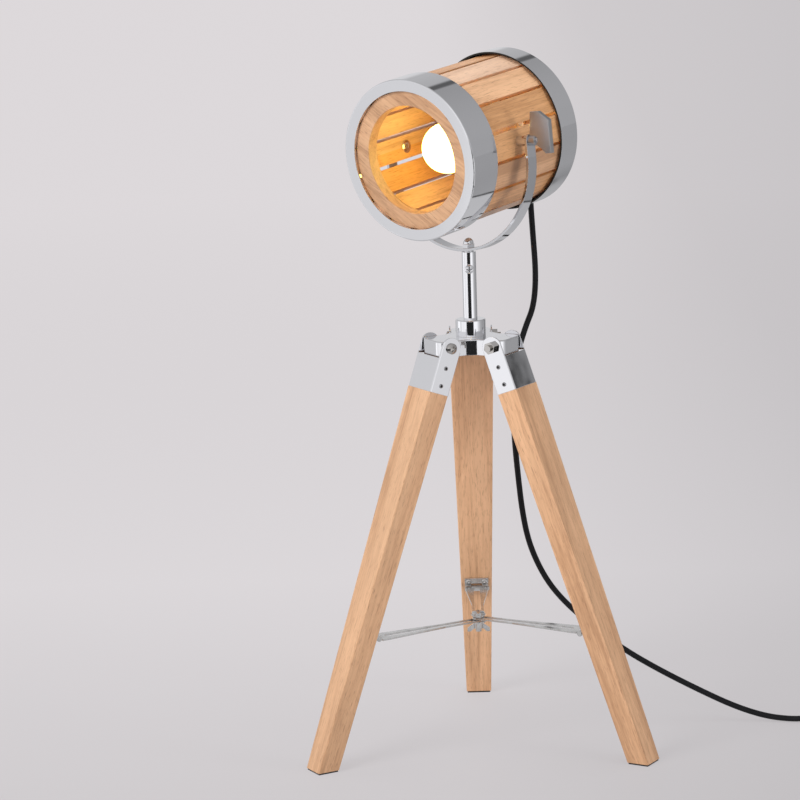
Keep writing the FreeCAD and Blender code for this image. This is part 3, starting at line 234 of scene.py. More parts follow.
# Colours, linear
WOOD_LIGHT = (0.76, 0.455, 0.260)
WOOD_MIDDLE = (0.66, 0.380, 0.210)
WOOD_DARK = (0.50, 0.270, 0.140)
WOOD_PORE = (0.30, 0.145, 0.070)
CHROME = (0.80, 0.80, 0.82, 1)
CAST = (0.52, 0.52, 0.53, 1)
BOLT = (0.50, 0.48, 0.46, 1)
RIVET = (0.45, 0.45, 0.46, 1)
STRAP = (0.66, 0.66, 0.68, 1)
ZINC = (0.76, 0.75, 0.74, 1)
ZINC_DULL = (0.62, 0.61, 0.60, 1)
ALUMINIUM = (0.75, 0.75, 0.75, 1)
FROSTED = (0.92, 0.91, 0.90, 1)
BULB_LIGHT = (1.0, 0.78, 0.17, 1)
# Painted shade, near black, for the rivets' hollow middles and the rear hoop's edge by the staves
PAINTED_SHADE_COLOUR = (0.012, 0.011, 0.010)
BLACK_PLASTIC = (0.020, 0.020, 0.021)
BLACK_SHEATH = (0.004, 0.004, 0.005)
PAD_RUBBER = (0.03, 0.03, 0.03)
PALE_PLASTIC = (0.80, 0.78, 0.72)

# The wood's broad grain, fine grain, pores and blotches: the stretch of each along the grain,
# and its noise
WOOD_NOISES = ((0.06, {"scale": 55, "detail": 3.0, "distortion": 0.4}),
               (0.045, {"scale": 420, "detail": 5.0, "roughness": 0.62}),
               (0.07, {"scale": 1500, "detail": 2.0, "roughness": 0.5}),
               (0.35, {"scale": 26, "detail": 2.0}))
BROAD_SHARE = 0.55
FINE_SHARE = 0.45
GRAIN_STOPS = ((0.38, WOOD_DARK), (0.62, WOOD_LIGHT), (0.49, WOOD_MIDDLE))
PORE_FROM = 0.57
PORE_TO = 0.70
PORE_DARK = 0.6
PORE_DEEP = 0.8
BLOTCH_FROM = 0.35
BLOTCH_TO = 0.75
BLOTCH_DARK = 0.90
BLOTCH_PALE = 1.06
WOOD_ROUGHNESS = (0.40, 0.52)

# How far the staves differ in tone, the bounds of their saturation, and what keeps the second
# draw apart from the first
STAVE_SHIFT = 0.11
STAVE_SATURATION = (0.70, 1.15)
SECOND_DRAW = 40.5


def wood(name, placed, streak=0.0, staves=False, tone=1.0):
    """Lacquered rubberwood with its grain along the frame's Z axis."""
    look = Look(name)
    broad, fine, pores, blotch = (look.noise(look.place(placed, (1, 1, along)), **noise)
                                  for along, noise in WOOD_NOISES)
    grain = look.math("ADD", look.math("MULTIPLY", broad, BROAD_SHARE),
                      look.math("MULTIPLY", fine, FINE_SHARE))
    if staves:
        split = look.split(look.place(placed))
        angle = look.math("ARCTAN2", split["Y"], split["X"])
        number = look.math("ROUND", look.math("MULTIPLY", angle, STAVE_COUNT / math.tau))
        grain = look.math("ADD", grain, look.draw(number, -STAVE_SHIFT, STAVE_SHIFT))
        saturation = look.draw(look.math("ADD", number, SECOND_DRAW), *STAVE_SATURATION)
    colour = look.ramp(grain, *GRAIN_STOPS)
    dark = look.spread(pores, PORE_FROM, PORE_TO, 0.0, PORE_DARK + streak)
    colour = look.mix(dark, colour, (*WOOD_PORE, 1))
    pale = look.spread(blotch, BLOTCH_FROM, BLOTCH_TO, BLOTCH_DARK * tone, BLOTCH_PALE * tone)
    colour = look.mix(1.0, colour, look.grey_of(pale), "MULTIPLY")
    if staves:
        colour = look.node("ShaderNodeHueSaturation", Color=colour,
                           Saturation=saturation).outputs[0]
    look.principled(Base_Color=colour, Roughness=look.spread_noise(fine, *WOOD_ROUGHNESS),
                    Coat_Weight=0.12, Coat_Roughness=0.35)
    look.bump(look.math("SUBTRACT", fine, look.math("MULTIPLY", dark, PORE_DEEP)),
              strength=0.22, distance=0.0003, edge=0.0005)
    return look.material


# Chrome and zinc: the noise where dull marks begin and are full, and how much duller they are
DULL_FROM = 0.35
CHROME_DULL_TO = 0.75
CHROME_DULLER = 0.05
ZINC_DULL_TO = 0.7
ZINC_ROUGHNESS = (0.14, 0.26)


def chrome(name, rough=0.03, ripple=0.02, colour=CHROME, edge=0.0007):
    """Polished chrome plating with faint ripples and a few dull wipe marks."""
    look = Look(name)
    where = look.place()
    haze = look.noise(where, scale=60, detail=4.0)
    look.principled(Base_Color=colour, Metallic=1.0,
                    Roughness=look.spread(haze, DULL_FROM, CHROME_DULL_TO,
                                          rough, rough + CHROME_DULLER))
    look.bump(look.noise(where, scale=38, detail=1.0), ripple, distance=0.002, edge=edge)
    return look.material


def zinc(name):
    """Zinc-plated sheet steel, satin, with a fine rolled texture."""
    look = Look(name)
    where = look.place()
    cloud = look.noise(where, scale=140, detail=5.0)
    colour = look.mix(look.spread(cloud, DULL_FROM, ZINC_DULL_TO), ZINC, ZINC_DULL)
    look.principled(Base_Color=colour, Metallic=1.0,
                    Roughness=look.spread_noise(cloud, *ZINC_ROUGHNESS))
    rolled = look.noise(where, scale=900, detail=3.0)
    look.bump(rolled, strength=0.12, distance=0.0002, edge=0.0004)
    return look.material


# Spots in plastic: how much paler they are, and the roughness below and above the usual one
SPOT_PALER = 0.25
SPOT_LIFT = 0.002
SPOT_SMOOTHER = 0.05
SPOT_ROUGHER = 0.06


def plastic(name, colour, rough, grain_scale=1400, strength=0.15, shine=0.35):
    """Moulded plastic or rubber with a fine spark-eroded grain."""
    look = Look(name)
    where = look.place()
    cloud = look.noise(where, scale=90, detail=3.0)
    paler = tuple(channel * (1 + SPOT_PALER) + SPOT_LIFT for channel in colour)
    look.principled(Base_Color=look.mix(look.spread_noise(cloud), (*colour, 1), (*paler, 1)),
                    Roughness=look.spread_noise(cloud, rough - SPOT_SMOOTHER, rough + SPOT_ROUGHER),
                    Specular_IOR_Level=shine)
    look.bump(look.noise(where, grain_scale, detail=2.0), strength, distance=0.0002)
    return look.material


# The bulb's glow, and the heights along the barrel's axis where it grows from its neck's
BULB_STRENGTH = 6.9
NECK_SHARE = 0.55
NECK_HIGH = -0.01
FULL_HIGH = 0.02
GLASS_ROUGHNESS = (0.22, 0.34)
CAP_ROUGHNESS = (0.2, 0.35)


def lit_glass():
    """Frosted glass of the lit bulb, a little dimmer towards its neck."""
    look = Look("lit_frosted_glass")
    strength = look.spread(look.split(look.place(DRUM))["Z"], NECK_HIGH, FULL_HIGH,
                           BULB_STRENGTH * NECK_SHARE, BULB_STRENGTH)
    cloud = look.noise(look.place(DRUM), scale=260, detail=2.0)
    look.principled(Base_Color=FROSTED, Roughness=look.spread_noise(cloud, *GLASS_ROUGHNESS),
                    Emission_Color=BULB_LIGHT, Emission_Strength=strength)
    return look.material


def cap_metal():
    """Rolled aluminium of the bulb's cap."""
    look = Look("bulb_cap_metal")
    thread = look.node("ShaderNodeTexWave", {"wave_type": "BANDS", "bands_direction": "Z"},
                       Vector=look.place(DRUM), Scale=45.0)
    cloud = look.noise(look.place(), scale=200)
    look.principled(Base_Color=ALUMINIUM, Metallic=1.0,
                    Roughness=look.spread_noise(cloud, *CAP_ROUGHNESS))
    look.bump(thread.outputs["Fac"], strength=0.8, distance=0.001)
    return look.material


def dress(material, *nodes):
    """Gives CAD nodes a finished material."""
    for name in nodes:
        for part in frame["nodes"][name].material_slots:
            part.material = material


# Grain of the disc and the ring, across the barrel, and what keeps the legs' grains apart
DISC_TURN = math.radians(52)
DISC_GRAIN = DRUM @ Matrix.Rotation(DISC_TURN, 4, "Z") @ Matrix.Rotation(math.pi / 2, 4, "X")
LEG_SHIFT = (0.31, 0.17, 0)
LEG_TONES = {1: 0.90, 2: 0.97, 3: 1.05}

chrome_bright = chrome("chrome_plate")
chrome_cast = chrome("chrome_casting", rough=0.07, ripple=0.06)
chrome_strap = chrome("chrome_strap", rough=0.04, colour=STRAP)
knob_cast = chrome("satin_knob_casting", rough=0.30, ripple=0.10, colour=CAST, edge=0.0012)
rivet_metal = chrome("dull_rivets", rough=0.22, ripple=0.0, colour=RIVET, edge=0.0)
bolt_metal = chrome("nickel_bolts", rough=0.16, ripple=0.0, colour=BOLT, edge=0.0003)
# Painted shade in black, for the rivets' hollow middles and the rear hoop's edge by the staves
painted_shade_black = plastic("painted_shade_black", PAINTED_SHADE_COLOUR, rough=0.6)
zinc_plate = zinc("zinc_plate")
black_plastic = plastic("black_moulded_plastic", BLACK_PLASTIC, rough=0.42)
black_cord = plastic("black_cord_sheath", BLACK_SHEATH, rough=0.34, grain_scale=700,
                     strength=0.05, shine=0.2)

dress(chrome_bright, "post_collar", "post_tube", "post_fixing_screw", "post_set_screw",
      "yoke_stem", "yoke_acorn_nut", "front_hoop", "rear_hoop", "pivot_bolts", "pivot_spacers")
dress(chrome_strap, "yoke_strap")
dress(chrome_cast, "hub_casting")
dress(knob_cast, "pivot_knob_right", "pivot_knob_left")
dress(zinc_plate, "spreader_bolt", "spreader_wing_nut")
for leg in LEGS:
    dress(chrome_bright, f"leg_{leg}_bracket")
    dress(bolt_metal, f"leg_{leg}_hinge_bolt")
    dress(zinc_plate, f"leg_{leg}_spreader_leaf", f"leg_{leg}_spreader_pin",
          f"spreader_arm_{leg}")
    shifted = LEG_FRAMES[leg] @ Matrix.Translation([shift * leg for shift in LEG_SHIFT])
    dress(wood(f"leg_{leg}_rubberwood", shifted, tone=LEG_TONES[leg]), f"leg_{leg}_wood")
    dress(plastic(f"leg_{leg}_pad_rubber", PAD_RUBBER, rough=0.7), f"leg_{leg}_foot_pad")
dress(wood("stave_rubberwood", DRUM, staves=True, tone=1.06), "staves")
dress(wood("ring_rubberwood", DISC_GRAIN, streak=0.2, tone=0.83), "front_wood_ring")
dress(wood("disc_rubberwood", DISC_GRAIN, streak=0.2, tone=0.96), "rear_wood_disc")
dress(plastic("pale_holder_plastic", PALE_PLASTIC, rough=0.5), "lamp_holder")
dress(lit_glass(), "bulb_glass")
dress(cap_metal(), "bulb_cap")
dress(black_plastic, "cord_gland", "switch_lower", "switch_upper", "switch_rocker", "plug_body")
dress(chrome("nickel_pins", rough=0.16, ripple=0.0), "plug_pins")


# The edge of the rear hoop that faces the staves gets painted shade in black, for the dark gap between the hoop
# and the staves: the faces whose normal has more than this share along the barrel's axis
EDGE_FACING = 0.8


def paint_shade_on_edge(name, along):
    """Paints shade, in black, on the faces of a CAD node that look along a direction."""
    mesh = frame["nodes"][name].data
    mesh.materials.append(painted_shade_black)
    for face in mesh.polygons:
        if face.normal.dot(along) > EDGE_FACING:
            face.material_index = len(mesh.materials) - 1


paint_shade_on_edge("rear_hoop", DRUM.to_3x3() @ Vector((0, 0, 1)))


# Mains cord: the same route as in the part's source, in metres from the post's foot
CORD_RADIUS = 0.00275
HUB_HIGH = 0.3825
GATE = Vector((0.0465, 0.027, HUB_HIGH - 0.0065))
STEP = Vector((-0.0035, -0.0042, -0.0098))
GLAND_DROP = 0.006
GLAND_ANGLE = math.radians(65)
GLAND_LONG = 0.025
DISC_BACK = 0.0795
GLAND_SINK = 0.001
LYING = 0.003
SWITCH_AT = Vector((0.3755, 0.026, 0.008))
SWITCH_HALF = 0.0375

# The run out of the gland as a share of the gland's length, and the runs above and below the
# gate as shares of one step
STRAIGHT_SHARE = 1.7
ABOVE_GATE_SHARE = 1.4
BELOW_GATE_SHARE = 1.3

# Points below the gland, the first from its tip and the others with their heights from the hub
BELOW_TIP = Vector((0.0058, 0.0064, -0.038))
ABOVE_HUB = ((0.0612, 0.0715, 0.092), (0.0632, 0.060, 0.052), (0.060, 0.0465, 0.024))

# Points from the hub down beside the tripod and out over the floor
DOWNWARDS = ((0.039, 0.0226, 0.3425), (0.0378, 0.022, 0.3085), (0.0389, 0.0225, 0.2765),
             (0.0414, 0.0239, 0.2445), (0.044, 0.0252, 0.2165), (0.0486, 0.028, 0.1885),
             (0.0562, 0.0324, 0.1655), (0.0666, 0.0385, 0.1435), (0.0795, 0.046, 0.1245),
             (0.096, 0.053, 0.106), (0.117, 0.057, 0.0865), (0.142, 0.0586, 0.0665),
             (0.173, 0.057, 0.0475), (0.208, 0.051, 0.0295), (0.242, 0.0432, 0.014),
             (0.270, 0.0364, 0.0054), (0.292, 0.031, 0.0031), (0.309, 0.0278, 0.0036))

# The last two points before the switch: how far they are from it, and where the first one lies
NUB_FAR = 0.014
NUB_NEAR = 0.0065
NUB_FAR_ASIDE = 0.0263
NUB_FAR_HIGH = 0.0068

# The link from the switch to the coil: the length and headings of its runs, in degrees, and
# how much of its fall is done at each point
LINK_RUN = 0.0168
LINK_HEADINGS = (0, 30, 60, 90, 90)
LINK_FALL_SHARES = (0, 0, 0.3, 0.7, 1, 1)

# The coil winds inwards on the floor, climbs within half a turn, and winds outwards on top
COIL_INNER = 0.0245
COIL_PITCH = 0.006
COIL_TURNS = 5
COIL_CLIMB = 0.0063
COIL_CLIMB_TURNS = 0.5
COIL_STEPS = 16
COIL_LEAVE = 0.034
LEAVE_SHARES = (0.3, 0.7)
PLUG_MIDDLE = 0.00685

# Smoothness of the cords and of what is turned
CURVE_ORDER = 3
CURVE_STEPS = 8
BEVEL_STEPS = 6
ROUND_SIDES = 24


def gland_point(distance):
    """A point on the axis of the cord gland, from the post's foot."""
    turn = Matrix.Rotation(math.pi - GLAND_ANGLE, 4, "X")
    start = DRUM @ Matrix.Translation((0, -GLAND_DROP, -DISC_BACK - GLAND_SINK))
    return start @ turn @ Vector((0, 0, distance)) - POST


def upper_route():
    """From the gland down beside the post to the hub."""
    tip = gland_point(GLAND_LONG)
    beside = [Vector((x, y, HUB_HIGH + high)) for x, y, high in ABOVE_HUB]
    return [tip, gland_point(GLAND_LONG * STRAIGHT_SHARE), tip + BELOW_TIP, *beside,
            GATE - STEP * ABOVE_GATE_SHARE, GATE]


def lower_route():
    """From the hub down and out to the switch."""
    nub = SWITCH_AT.x - SWITCH_HALF
    return [GATE, GATE + STEP * BELOW_GATE_SHARE, *(Vector(point) for point in DOWNWARDS),
            Vector((nub - NUB_FAR, NUB_FAR_ASIDE, NUB_FAR_HIGH)),
            Vector((nub - NUB_NEAR, SWITCH_AT.y, SWITCH_AT.z)),
            Vector((nub, SWITCH_AT.y, SWITCH_AT.z))]


def heading(angle):
    """A level direction."""
    return Vector((math.cos(angle), math.sin(angle), 0))


def coil_route():
    """From the switch round the corner, through the coil's two layers, and out to the plug."""
    corner = SWITCH_AT + Vector((SWITCH_HALF, 0, 0))
    route = [corner]
    for degrees in LINK_HEADINGS:
        corner = corner + heading(math.radians(degrees)) * LINK_RUN
        route.append(corner)
    fall = SWITCH_AT.z - LYING
    for point, share in zip(route, LINK_FALL_SHARES):
        point.z = SWITCH_AT.z - fall * share
    reverse = COIL_TURNS / 2
    outer = COIL_INNER + COIL_PITCH * reverse
    centre = route[-1] + Vector((-outer, CORD_RADIUS * 2, 0))
    for number in range(COIL_TURNS * COIL_STEPS + 1):
        count = number / COIL_STEPS
        radius = COIL_INNER + COIL_PITCH * abs(count - reverse)
        climbed = min(max((count - reverse) / COIL_CLIMB_TURNS + 0.5, 0), 1) * COIL_CLIMB
        route.append(centre + heading(math.tau * count) * radius + Vector((0, 0, climbed)))
    leave = centre + Vector((outer, COIL_LEAVE, PLUG_MIDDLE - LYING))
    for share, high in zip(LEAVE_SHARES, (LYING + COIL_CLIMB, leave.z)):
        route.append(Vector((centre.x + outer, centre.y + COIL_LEAVE * share, high)))
    return [*route, leave, leave + Vector((0, CORD_RADIUS * 2, 0))]


def nurbs(name, points, radius):
    """A smooth cord in the part's frame, with the route's points as its control points."""
    data = bpy.data.curves.new(name, "CURVE")
    data.dimensions = "3D"
    data.resolution_u = CURVE_STEPS
    data.bevel_depth = radius
    data.bevel_resolution = BEVEL_STEPS
    data.use_fill_caps = True
    spline = data.splines.new("NURBS")
    spline.points.add(len(points) - 1)
    for control, point in zip(spline.points, points):
        control.co = (*(point + POST), 1)
    spline.order_u = CURVE_ORDER
    spline.use_endpoint_u = True
    return add(name, data)


def centre_line(name, points):
    """The points of a NURBS spline as Blender evaluates it."""
    made = nurbs(name, points, 0.0)
    bpy.context.view_layer.update()
    mesh = bpy.data.meshes.new_from_object(made)
    line = [vertex.co.copy() for vertex in mesh.vertices]
    bpy.data.meshes.remove(mesh)
    bpy.data.objects.remove(made)
    return line


def tube_nodes(name, radius, material):
    """A modifier's tree that makes a closed round tube along the edges of a mesh."""
    tree = bpy.data.node_groups.new(name, "GeometryNodeTree")
    for way in ("INPUT", "OUTPUT"):
        tree.interface.new_socket("Geometry", in_out=way, socket_type="NodeSocketGeometry")
    nodes = Nodes(tree)
    source = nodes.node("NodeGroupInput")
    line = nodes.node("GeometryNodeMeshToCurve", Mesh=source.outputs[0])
    circle = nodes.node("GeometryNodeCurvePrimitiveCircle", Resolution=ROUND_SIDES, Radius=radius)
    skin = nodes.node("GeometryNodeCurveToMesh", Curve=line.outputs["Curve"],
                      Profile_Curve=circle.outputs["Curve"], Fill_Caps=True)
    smooth = nodes.node("GeometryNodeSetShadeSmooth", Geometry=skin.outputs["Mesh"])
    painted = nodes.node("GeometryNodeSetMaterial", Geometry=smooth.outputs["Geometry"],
                         Material=material)
    nodes.feed(nodes.node("NodeGroupOutput").inputs[0], painted.outputs["Geometry"])
    return tree


def bending_tube(name, line, radius, material):
    """A round tube along a line of points. The mesh is the line alone and a modifier makes the tube, which stays
    round wherever the line bends."""
    mesh = bpy.data.meshes.new(name)
    mesh.from_pydata(line, [(number, number + 1) for number in range(len(line) - 1)], [])
    mesh.materials.append(material)
    made = add(name, mesh)
    made.modifiers.new("tube", "NODES").node_group = tube_nodes(name, radius, material)
    return made


def build_cord():
    """The mains cord in four stretches."""
    whole = centre_line("upper_line", upper_route())
    middle = len(whole) // 2
    stretches = (("cord_from_gland", whole[:middle + 1], "spotlight", "yoke"),
                 ("cord_to_hub", whole[middle:], "yoke", "stand_head"))
    for name, line, above, below in stretches:
        made = bending_tube(name, line, CORD_RADIUS, black_cord)
        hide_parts("cord_upper")
        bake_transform(made)

    lower = nurbs("cord_to_switch", lower_route(), CORD_RADIUS)
    lower.data.materials.append(black_cord)
    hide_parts("cord_lower")
    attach(lower, "stand_head")

    coil = nurbs("cord_to_plug", coil_route(), CORD_RADIUS)
    coil.data.materials.append(black_cord)
    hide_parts("cord_link", "cord_coil")
    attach(coil, "stand_head")


build_cord()


def turned(name, profile, places, painted_shade_rings=0):
    """Copies of one turned piece, its profile in radii and heights, at several frames. Its first rings can have
    the second of its materials, which on the rivets is painted shade."""
    mesh = bpy.data.meshes.new(name)
    work = bmesh.new()
    for placed in places:
        rings = []
        for radius, high in profile:
            swings = [math.tau * side / ROUND_SIDES for side in range(ROUND_SIDES if radius else 1)]
            rings.append([work.verts.new(placed @ Vector((radius * math.cos(swing),
                                                          radius * math.sin(swing), high)))
                          for swing in swings])
        for number, (one, two) in enumerate(zip(rings, rings[1:])):
            for side in range(ROUND_SIDES):
                other = (side + 1) % ROUND_SIDES
                corners = [one[side % len(one)], one[other % len(one)],
                           two[other % len(two)], two[side % len(two)]]
                face = work.faces.new(list(dict.fromkeys(corners)))
                face.smooth = True
                face.material_index = 1 if number < painted_shade_rings else 0
    work.to_mesh(mesh)
    work.free()
    return add(name, mesh)


# Rivets in the cheeks of the brackets, and the screws of the spreader leaves
CHEEK_OUT = 0.02005
RIVET_DOWNS = (0.019, 0.0356)
RIVET_PROFILE = ((0, 0.00010), (0.0010, 0.00012), (0.0012, 0.0007), (0.0015, 0.0009),
                 (0.0019, 0.0006), (0.0021, 0.0), (0.0021, -0.0003), (0, -0.0003))
# The rivets' first rings, in their hollow middles, carry painted shade in black
RIVET_SHADE_RINGS = 2
LEAF_FACE = -0.0116
LEAF_SCREW_ASIDE = 0.0076
LEAF_SCREW_DOWN = 0.2688
SCREW_PROFILE = ((0, 0.0004), (0.0008, 0.0004), (0.0010, 0.0011), (0.0018, 0.0010),
                 (0.0026, 0.0003), (0.0026, -0.0002), (0, -0.0002))


def build_fasteners():
    """The small pieces on each leg that the CAD leaves out."""
    for leg in LEGS:
        placed = LEG_FRAMES[leg]
        rivets = []
        for side in (1, -1):
            outward = Matrix.Rotation(-math.pi / 2 * side, 4, "X")
            for down in RIVET_DOWNS:
                rivets.append(placed @ Matrix.Translation((0, CHEEK_OUT * side, -down)) @ outward)
        made = turned(f"leg_{leg}_rivets", RIVET_PROFILE, rivets, painted_shade_rings=RIVET_SHADE_RINGS)
        made.data.materials.append(rivet_metal)
        # The second material, on the rivets' hollow middles, is painted shade
        made.data.materials.append(painted_shade_black)
        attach(made, f"leg_{leg}")
        inward = Matrix.Rotation(-math.pi / 2, 4, "Y")
        asides = (LEAF_SCREW_ASIDE, -LEAF_SCREW_ASIDE)
        screws = [placed @ Matrix.Translation((LEAF_FACE, aside, -LEAF_SCREW_DOWN)) @ inward
                  for aside in asides]
        made = turned(f"leg_{leg}_leaf_screws", SCREW_PROFILE, screws)
        made.data.materials.append(zinc_plate)
        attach(made, f"leg_{leg}")


build_fasteners()


# Studio: a pale floor, soft lights, and a room that the metal mirrors
FLOOR_HALF = 20.0
FLOOR_COLOUR = (0.66, 0.645, 0.66, 1)
FLOOR_ROUGHNESS = (0.50, 0.56)

# The paper that the camera sees, its even left side and its darker right one, where painted shade stands for the
# light falling off. On the floor the place across it is divided by the distance from a camera this far back
LEFT_COLOUR = (0.722, 0.690, 0.706, 1)
RIGHT_COLOUR = (0.636, 0.611, 0.628, 1)
VIEW_BACK = 3.0
VIEW_HALF = 0.12
VIEW_EVEN = -0.01

# The floor is darker towards the front and the right, in painted shade. Shadows show on it near the lamp only, and
# far away its own tones fade out
NEAR_FROM = -0.25
NEAR_TO = 0.60
NEAR_TONE = 0.81
SIDE_TO = 0.50
SIDE_TONE = 0.91
FAR_FROM = 0.5
FAR_TO = 4.0
NEAR_SHARE = 0.82
OPEN_FROM = 11.5
OPEN_TO = 18.0

# In the metal the floor is a round grey sheet, with a dark rim on its right side
SHEET_RADIUS = 0.80
SHEET_EDGE = 0.06
SHEET_TONE = 0.57
RIM_FROM = 0.1
RIM_TO = 0.3
RIM_TONE = 0.02

# How much more blue than red the room and the sheet have
ROOM_BLUE = 1.02

# What stands round the lamp, by the bearing from the front to the right, in degrees: below
# the horizon, just above it, and high up
LOW_TONES = ((-180, 0.44), (-150, 0.48), (-135, 0.72), (-125, 0.64), (-115, 0.64), (-110, 1.20),
             (-87, 1.20), (-84, 0.78), (-75, 0.78), (-72, 1.20), (-64, 1.02), (-34, 1.12),
             (-30, 0.02), (20, 0.02), (25, 1.20), (52, 1.12), (56, 0.80), (66, 0.76),
             (74, 0.52), (90, 0.42), (105, 0.36), (120, 0.38), (135, 0.30), (150, 0.42),
             (180, 0.44))
LEVEL_TONES = ((-180, 0.70), (-110, 0.72), (-100, 0.88), (-45, 0.88), (-15, 1.05), (5, 0.80),
               (45, 0.50), (100, 0.41), (150, 0.37), (166, 0.55), (180, 0.70))
HIGH_TONES = ((-180, 0.50), (-110, 0.60), (-15, 0.80), (45, 0.60), (100, 0.42), (150, 0.36),
              (156, 0.36), (158, 0.12), (163, 0.12), (166, 0.48), (180, 0.52))

# Where the high tones and the ceiling begin and are full, as the upward part of a direction
HIGH_FROM = 0.22
HIGH_TO = 0.34
CEILING_FROM = 0.75
CEILING_TO = 0.95
CEILING_TONE = 0.45

# A dark screen that stands just above the horizon, its right edge soft and slanting
SCREEN_FROM = 112.0
SCREEN_TO = 118.55
SCREEN_SOFT = 0.45
SCREEN_SLANT = 14.3
SCREEN_TONE = 0.03

# Light from all round on what isn't metal
FILL_COLOUR = (0.40, 0.40, 0.41, 1)

# Soft lights: name, place, size and power
LIGHTS = (("left_softbox", (-1.8, -1.7, 1.5), (1.3, 1.6), 62),
          ("right_softbox", (2.3, -1.3, 0.9), (1.0, 1.4), 25),
          ("top_softbox", (0, 0.2, 2.4), (1.6, 1.6), 20))
LIGHT_TARGET = Vector((0, 0, 0.3))


def grey(tone):
    return (tone, tone, tone, 1)


def bearing_of(nodes, across, ahead):
    """Bearing of a direction, from the front to the right, in radians."""
    return nodes.math("ARCTAN2", across, nodes.math("MULTIPLY", ahead, -1.0))


def room(nodes, across, ahead, tones):
    """Colour of the room at the bearing of a direction."""
    share = nodes.spread(bearing_of(nodes, across, ahead), -math.pi, math.pi)
    stops = [(degrees / 360 + 0.5, (tone, tone, tone * ROOM_BLUE)) for degrees, tone in tones]
    return nodes.ramp(share, stops[0], stops[-1], *stops[1:-1])


def backdrop(nodes, across):
    """The pale paper's colour, a little darker to the right in painted shade."""
    return nodes.mix(nodes.spread(across, VIEW_EVEN, VIEW_HALF), LEFT_COLOUR, RIGHT_COLOUR)


def paper_floor(look, split, away):
    """The floor's glow for the camera, in the paper's colour, with painted shade towards the front and the right.
    """
    paper = backdrop(look, look.math("DIVIDE", split["X"], look.math("ADD", away, VIEW_BACK)))
    near = look.math("MULTIPLY", look.spread(split["Y"], NEAR_FROM, NEAR_TO, NEAR_TONE, 1.0),
                     look.spread(split["X"], 0.0, SIDE_TO, 1.0, SIDE_TONE))
    shade = look.mix(look.spread(away, OPEN_FROM, OPEN_TO), look.grey_of(near), grey(1))
    return look.glow(look.mix(1.0, paper, shade, "MULTIPLY"))


def mirrored_floor(look, split, away):
    """The floor's glow in the metal: the sheet, its rim, and the room beyond it."""
    around = room(look, split["X"], split["Y"], LOW_TONES)
    beyond = look.spread(away, SHEET_RADIUS, SHEET_RADIUS + SHEET_EDGE)
    # The rim is full in the middle of the sheet's edge and fades to both sides
    apart = look.math("ABSOLUTE", look.math("SUBTRACT", look.math("MULTIPLY", beyond, 2.0), 1.0))
    rim = look.math("MULTIPLY", look.math("SUBTRACT", 1.0, apart),
                    look.spread(split["X"], RIM_FROM, RIM_TO))
    sheet = look.mix(beyond, (SHEET_TONE, SHEET_TONE, SHEET_TONE * ROOM_BLUE, 1), around)
    return look.glow(look.mix(rim, sheet, grey(RIM_TONE)))


def build_floor():
    """A floor that looks one way to the camera and another in the metal."""
    mesh = bpy.data.meshes.new("floor")
    corners = [(x * FLOOR_HALF, y * FLOOR_HALF, 0) for x, y in ((-1, -1), (1, -1), (1, 1), (-1, 1))]
    mesh.from_pydata(corners, [], [(0, 1, 2, 3)])
    floor = add("floor", mesh)
    look = Look("pale_floor")
    where = look.place()
    haze = look.noise(where, scale=9, detail=3.0)
    look.principled(Base_Color=FLOOR_COLOUR, Roughness=look.spread_noise(haze, *FLOOR_ROUGHNESS))
    split = look.split(where)
    length = look.node("ShaderNodeVectorMath", {"operation": "LENGTH"})
    look.feed(length.inputs[0], where)
    away = length.outputs["Value"]
    rays = look.node("ShaderNodeLightPath").outputs
    share = look.math("MULTIPLY", rays["Is Camera Ray"],
                      look.spread(away, FAR_FROM, FAR_TO, NEAR_SHARE, 1.0))
    seen = look.blend(share, look.shader.outputs[0], paper_floor(look, split, away))
    both = look.blend(rays["Is Glossy Ray"], seen, mirrored_floor(look, split, away))
    look.feed(look.tree.nodes["Material Output"].inputs["Surface"], both)
    mesh.materials.append(look.material)


def build_light(name, place, size, power):
    """A soft light on the lamp that the metal doesn't mirror."""
    data = bpy.data.lights.new(name, "AREA")
    data.shape = "RECTANGLE"
    data.size, data.size_y = size
    data.energy = power
    light = add(name, data)
    light.visible_glossy = False
    light.location = place
    light.rotation_mode = "QUATERNION"
    light.rotation_quaternion = (Vector(place) - LIGHT_TARGET).to_track_quat("Z", "Y")


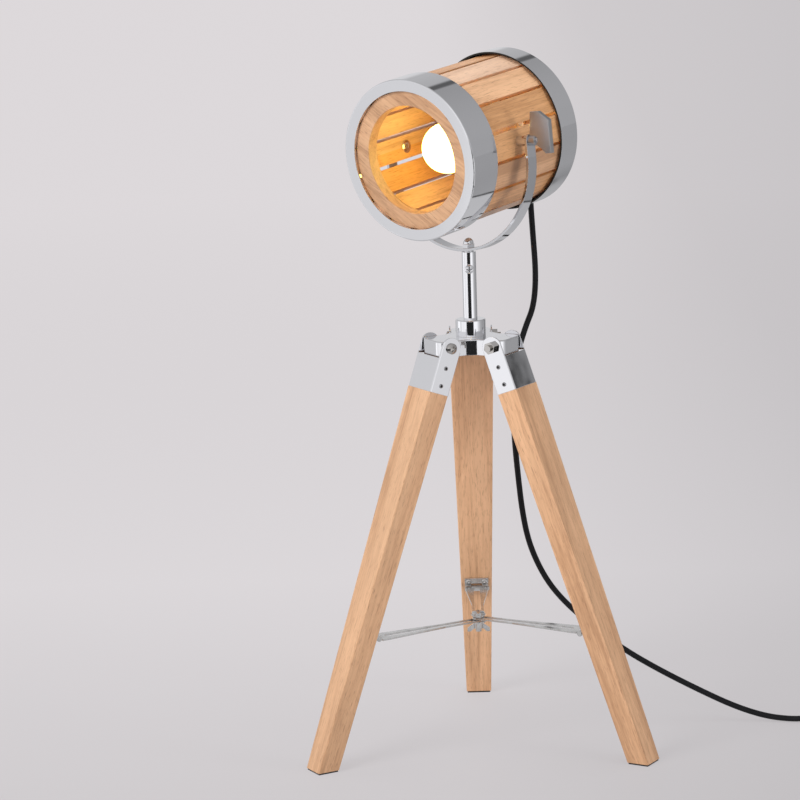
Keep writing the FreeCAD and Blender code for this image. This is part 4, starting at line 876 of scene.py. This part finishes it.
def build_world():
    """The room in the metal, the paper for the camera, and an even light for the rest."""
    world = bpy.data.worlds.new("studio")
    bpy.context.scene.world = world
    world.use_nodes = True
    nodes = Nodes(world.node_tree)
    split = nodes.split(nodes.node("ShaderNodeTexCoord").outputs["Generated"])
    rays = nodes.node("ShaderNodeLightPath").outputs
    across, ahead, above = split["X"], split["Y"], split["Z"]
    bearing = nodes.math("MULTIPLY", bearing_of(nodes, across, ahead), 180 / math.pi)
    slanting = nodes.math("SUBTRACT", bearing, nodes.math("MULTIPLY", above, SCREEN_SLANT))
    clear = nodes.math("MAXIMUM", nodes.spread(slanting, SCREEN_TO, SCREEN_TO + SCREEN_SOFT),
                       nodes.spread(slanting, SCREEN_FROM, SCREEN_FROM - SCREEN_SOFT))
    level = nodes.mix(clear, grey(SCREEN_TONE), room(nodes, across, ahead, LEVEL_TONES))
    walls = nodes.mix(nodes.spread(above, HIGH_FROM, HIGH_TO), level,
                      room(nodes, across, ahead, HIGH_TONES))
    around = nodes.mix(nodes.spread(above, CEILING_FROM, CEILING_TO), walls, grey(CEILING_TONE))
    colour = nodes.mix(rays["Is Glossy Ray"], FILL_COLOUR, around)
    colour = nodes.mix(rays["Is Camera Ray"], colour, backdrop(nodes, across))
    nodes.feed(nodes.tree.nodes["Background"].inputs["Color"], colour)


def build_camera():
    """The camera that took the photograph, as fitted to the legs."""
    turn = Matrix.Rotation(CAMERA_ROUND, 3, "Z")
    ahead = Vector((math.sin(CAMERA_YAW) * math.cos(CAMERA_PITCH),
                    math.cos(CAMERA_YAW) * math.cos(CAMERA_PITCH), -math.sin(CAMERA_PITCH)))
    right = Vector((math.cos(CAMERA_YAW), -math.sin(CAMERA_YAW), 0))
    up = right.cross(ahead)
    level = right * math.cos(CAMERA_ROLL) + up * math.sin(CAMERA_ROLL)
    above = up * math.cos(CAMERA_ROLL) - right * math.sin(CAMERA_ROLL)
    axes = Matrix([turn @ level, turn @ above, turn @ -ahead]).transposed()
    place = turn @ Vector((0, -CAMERA_BACK, CAMERA_HIGH)) + POST
    data = bpy.data.cameras.new("camera")
    data.sensor_fit = "HORIZONTAL"
    data.sensor_width = SENSOR_MM
    data.lens = FOCAL_PIXELS / PHOTO_PIXELS * SENSOR_MM
    data.clip_end = CAMERA_REACH
    camera = add("camera", data)
    camera.matrix_world = Matrix.Translation(place) @ axes.to_4x4()
    bpy.context.scene.camera = camera


build_floor()
build_world()
for light in LIGHTS:
    build_light(*light)
build_camera()
bpy.context.scene.view_settings.view_transform = "Standard"
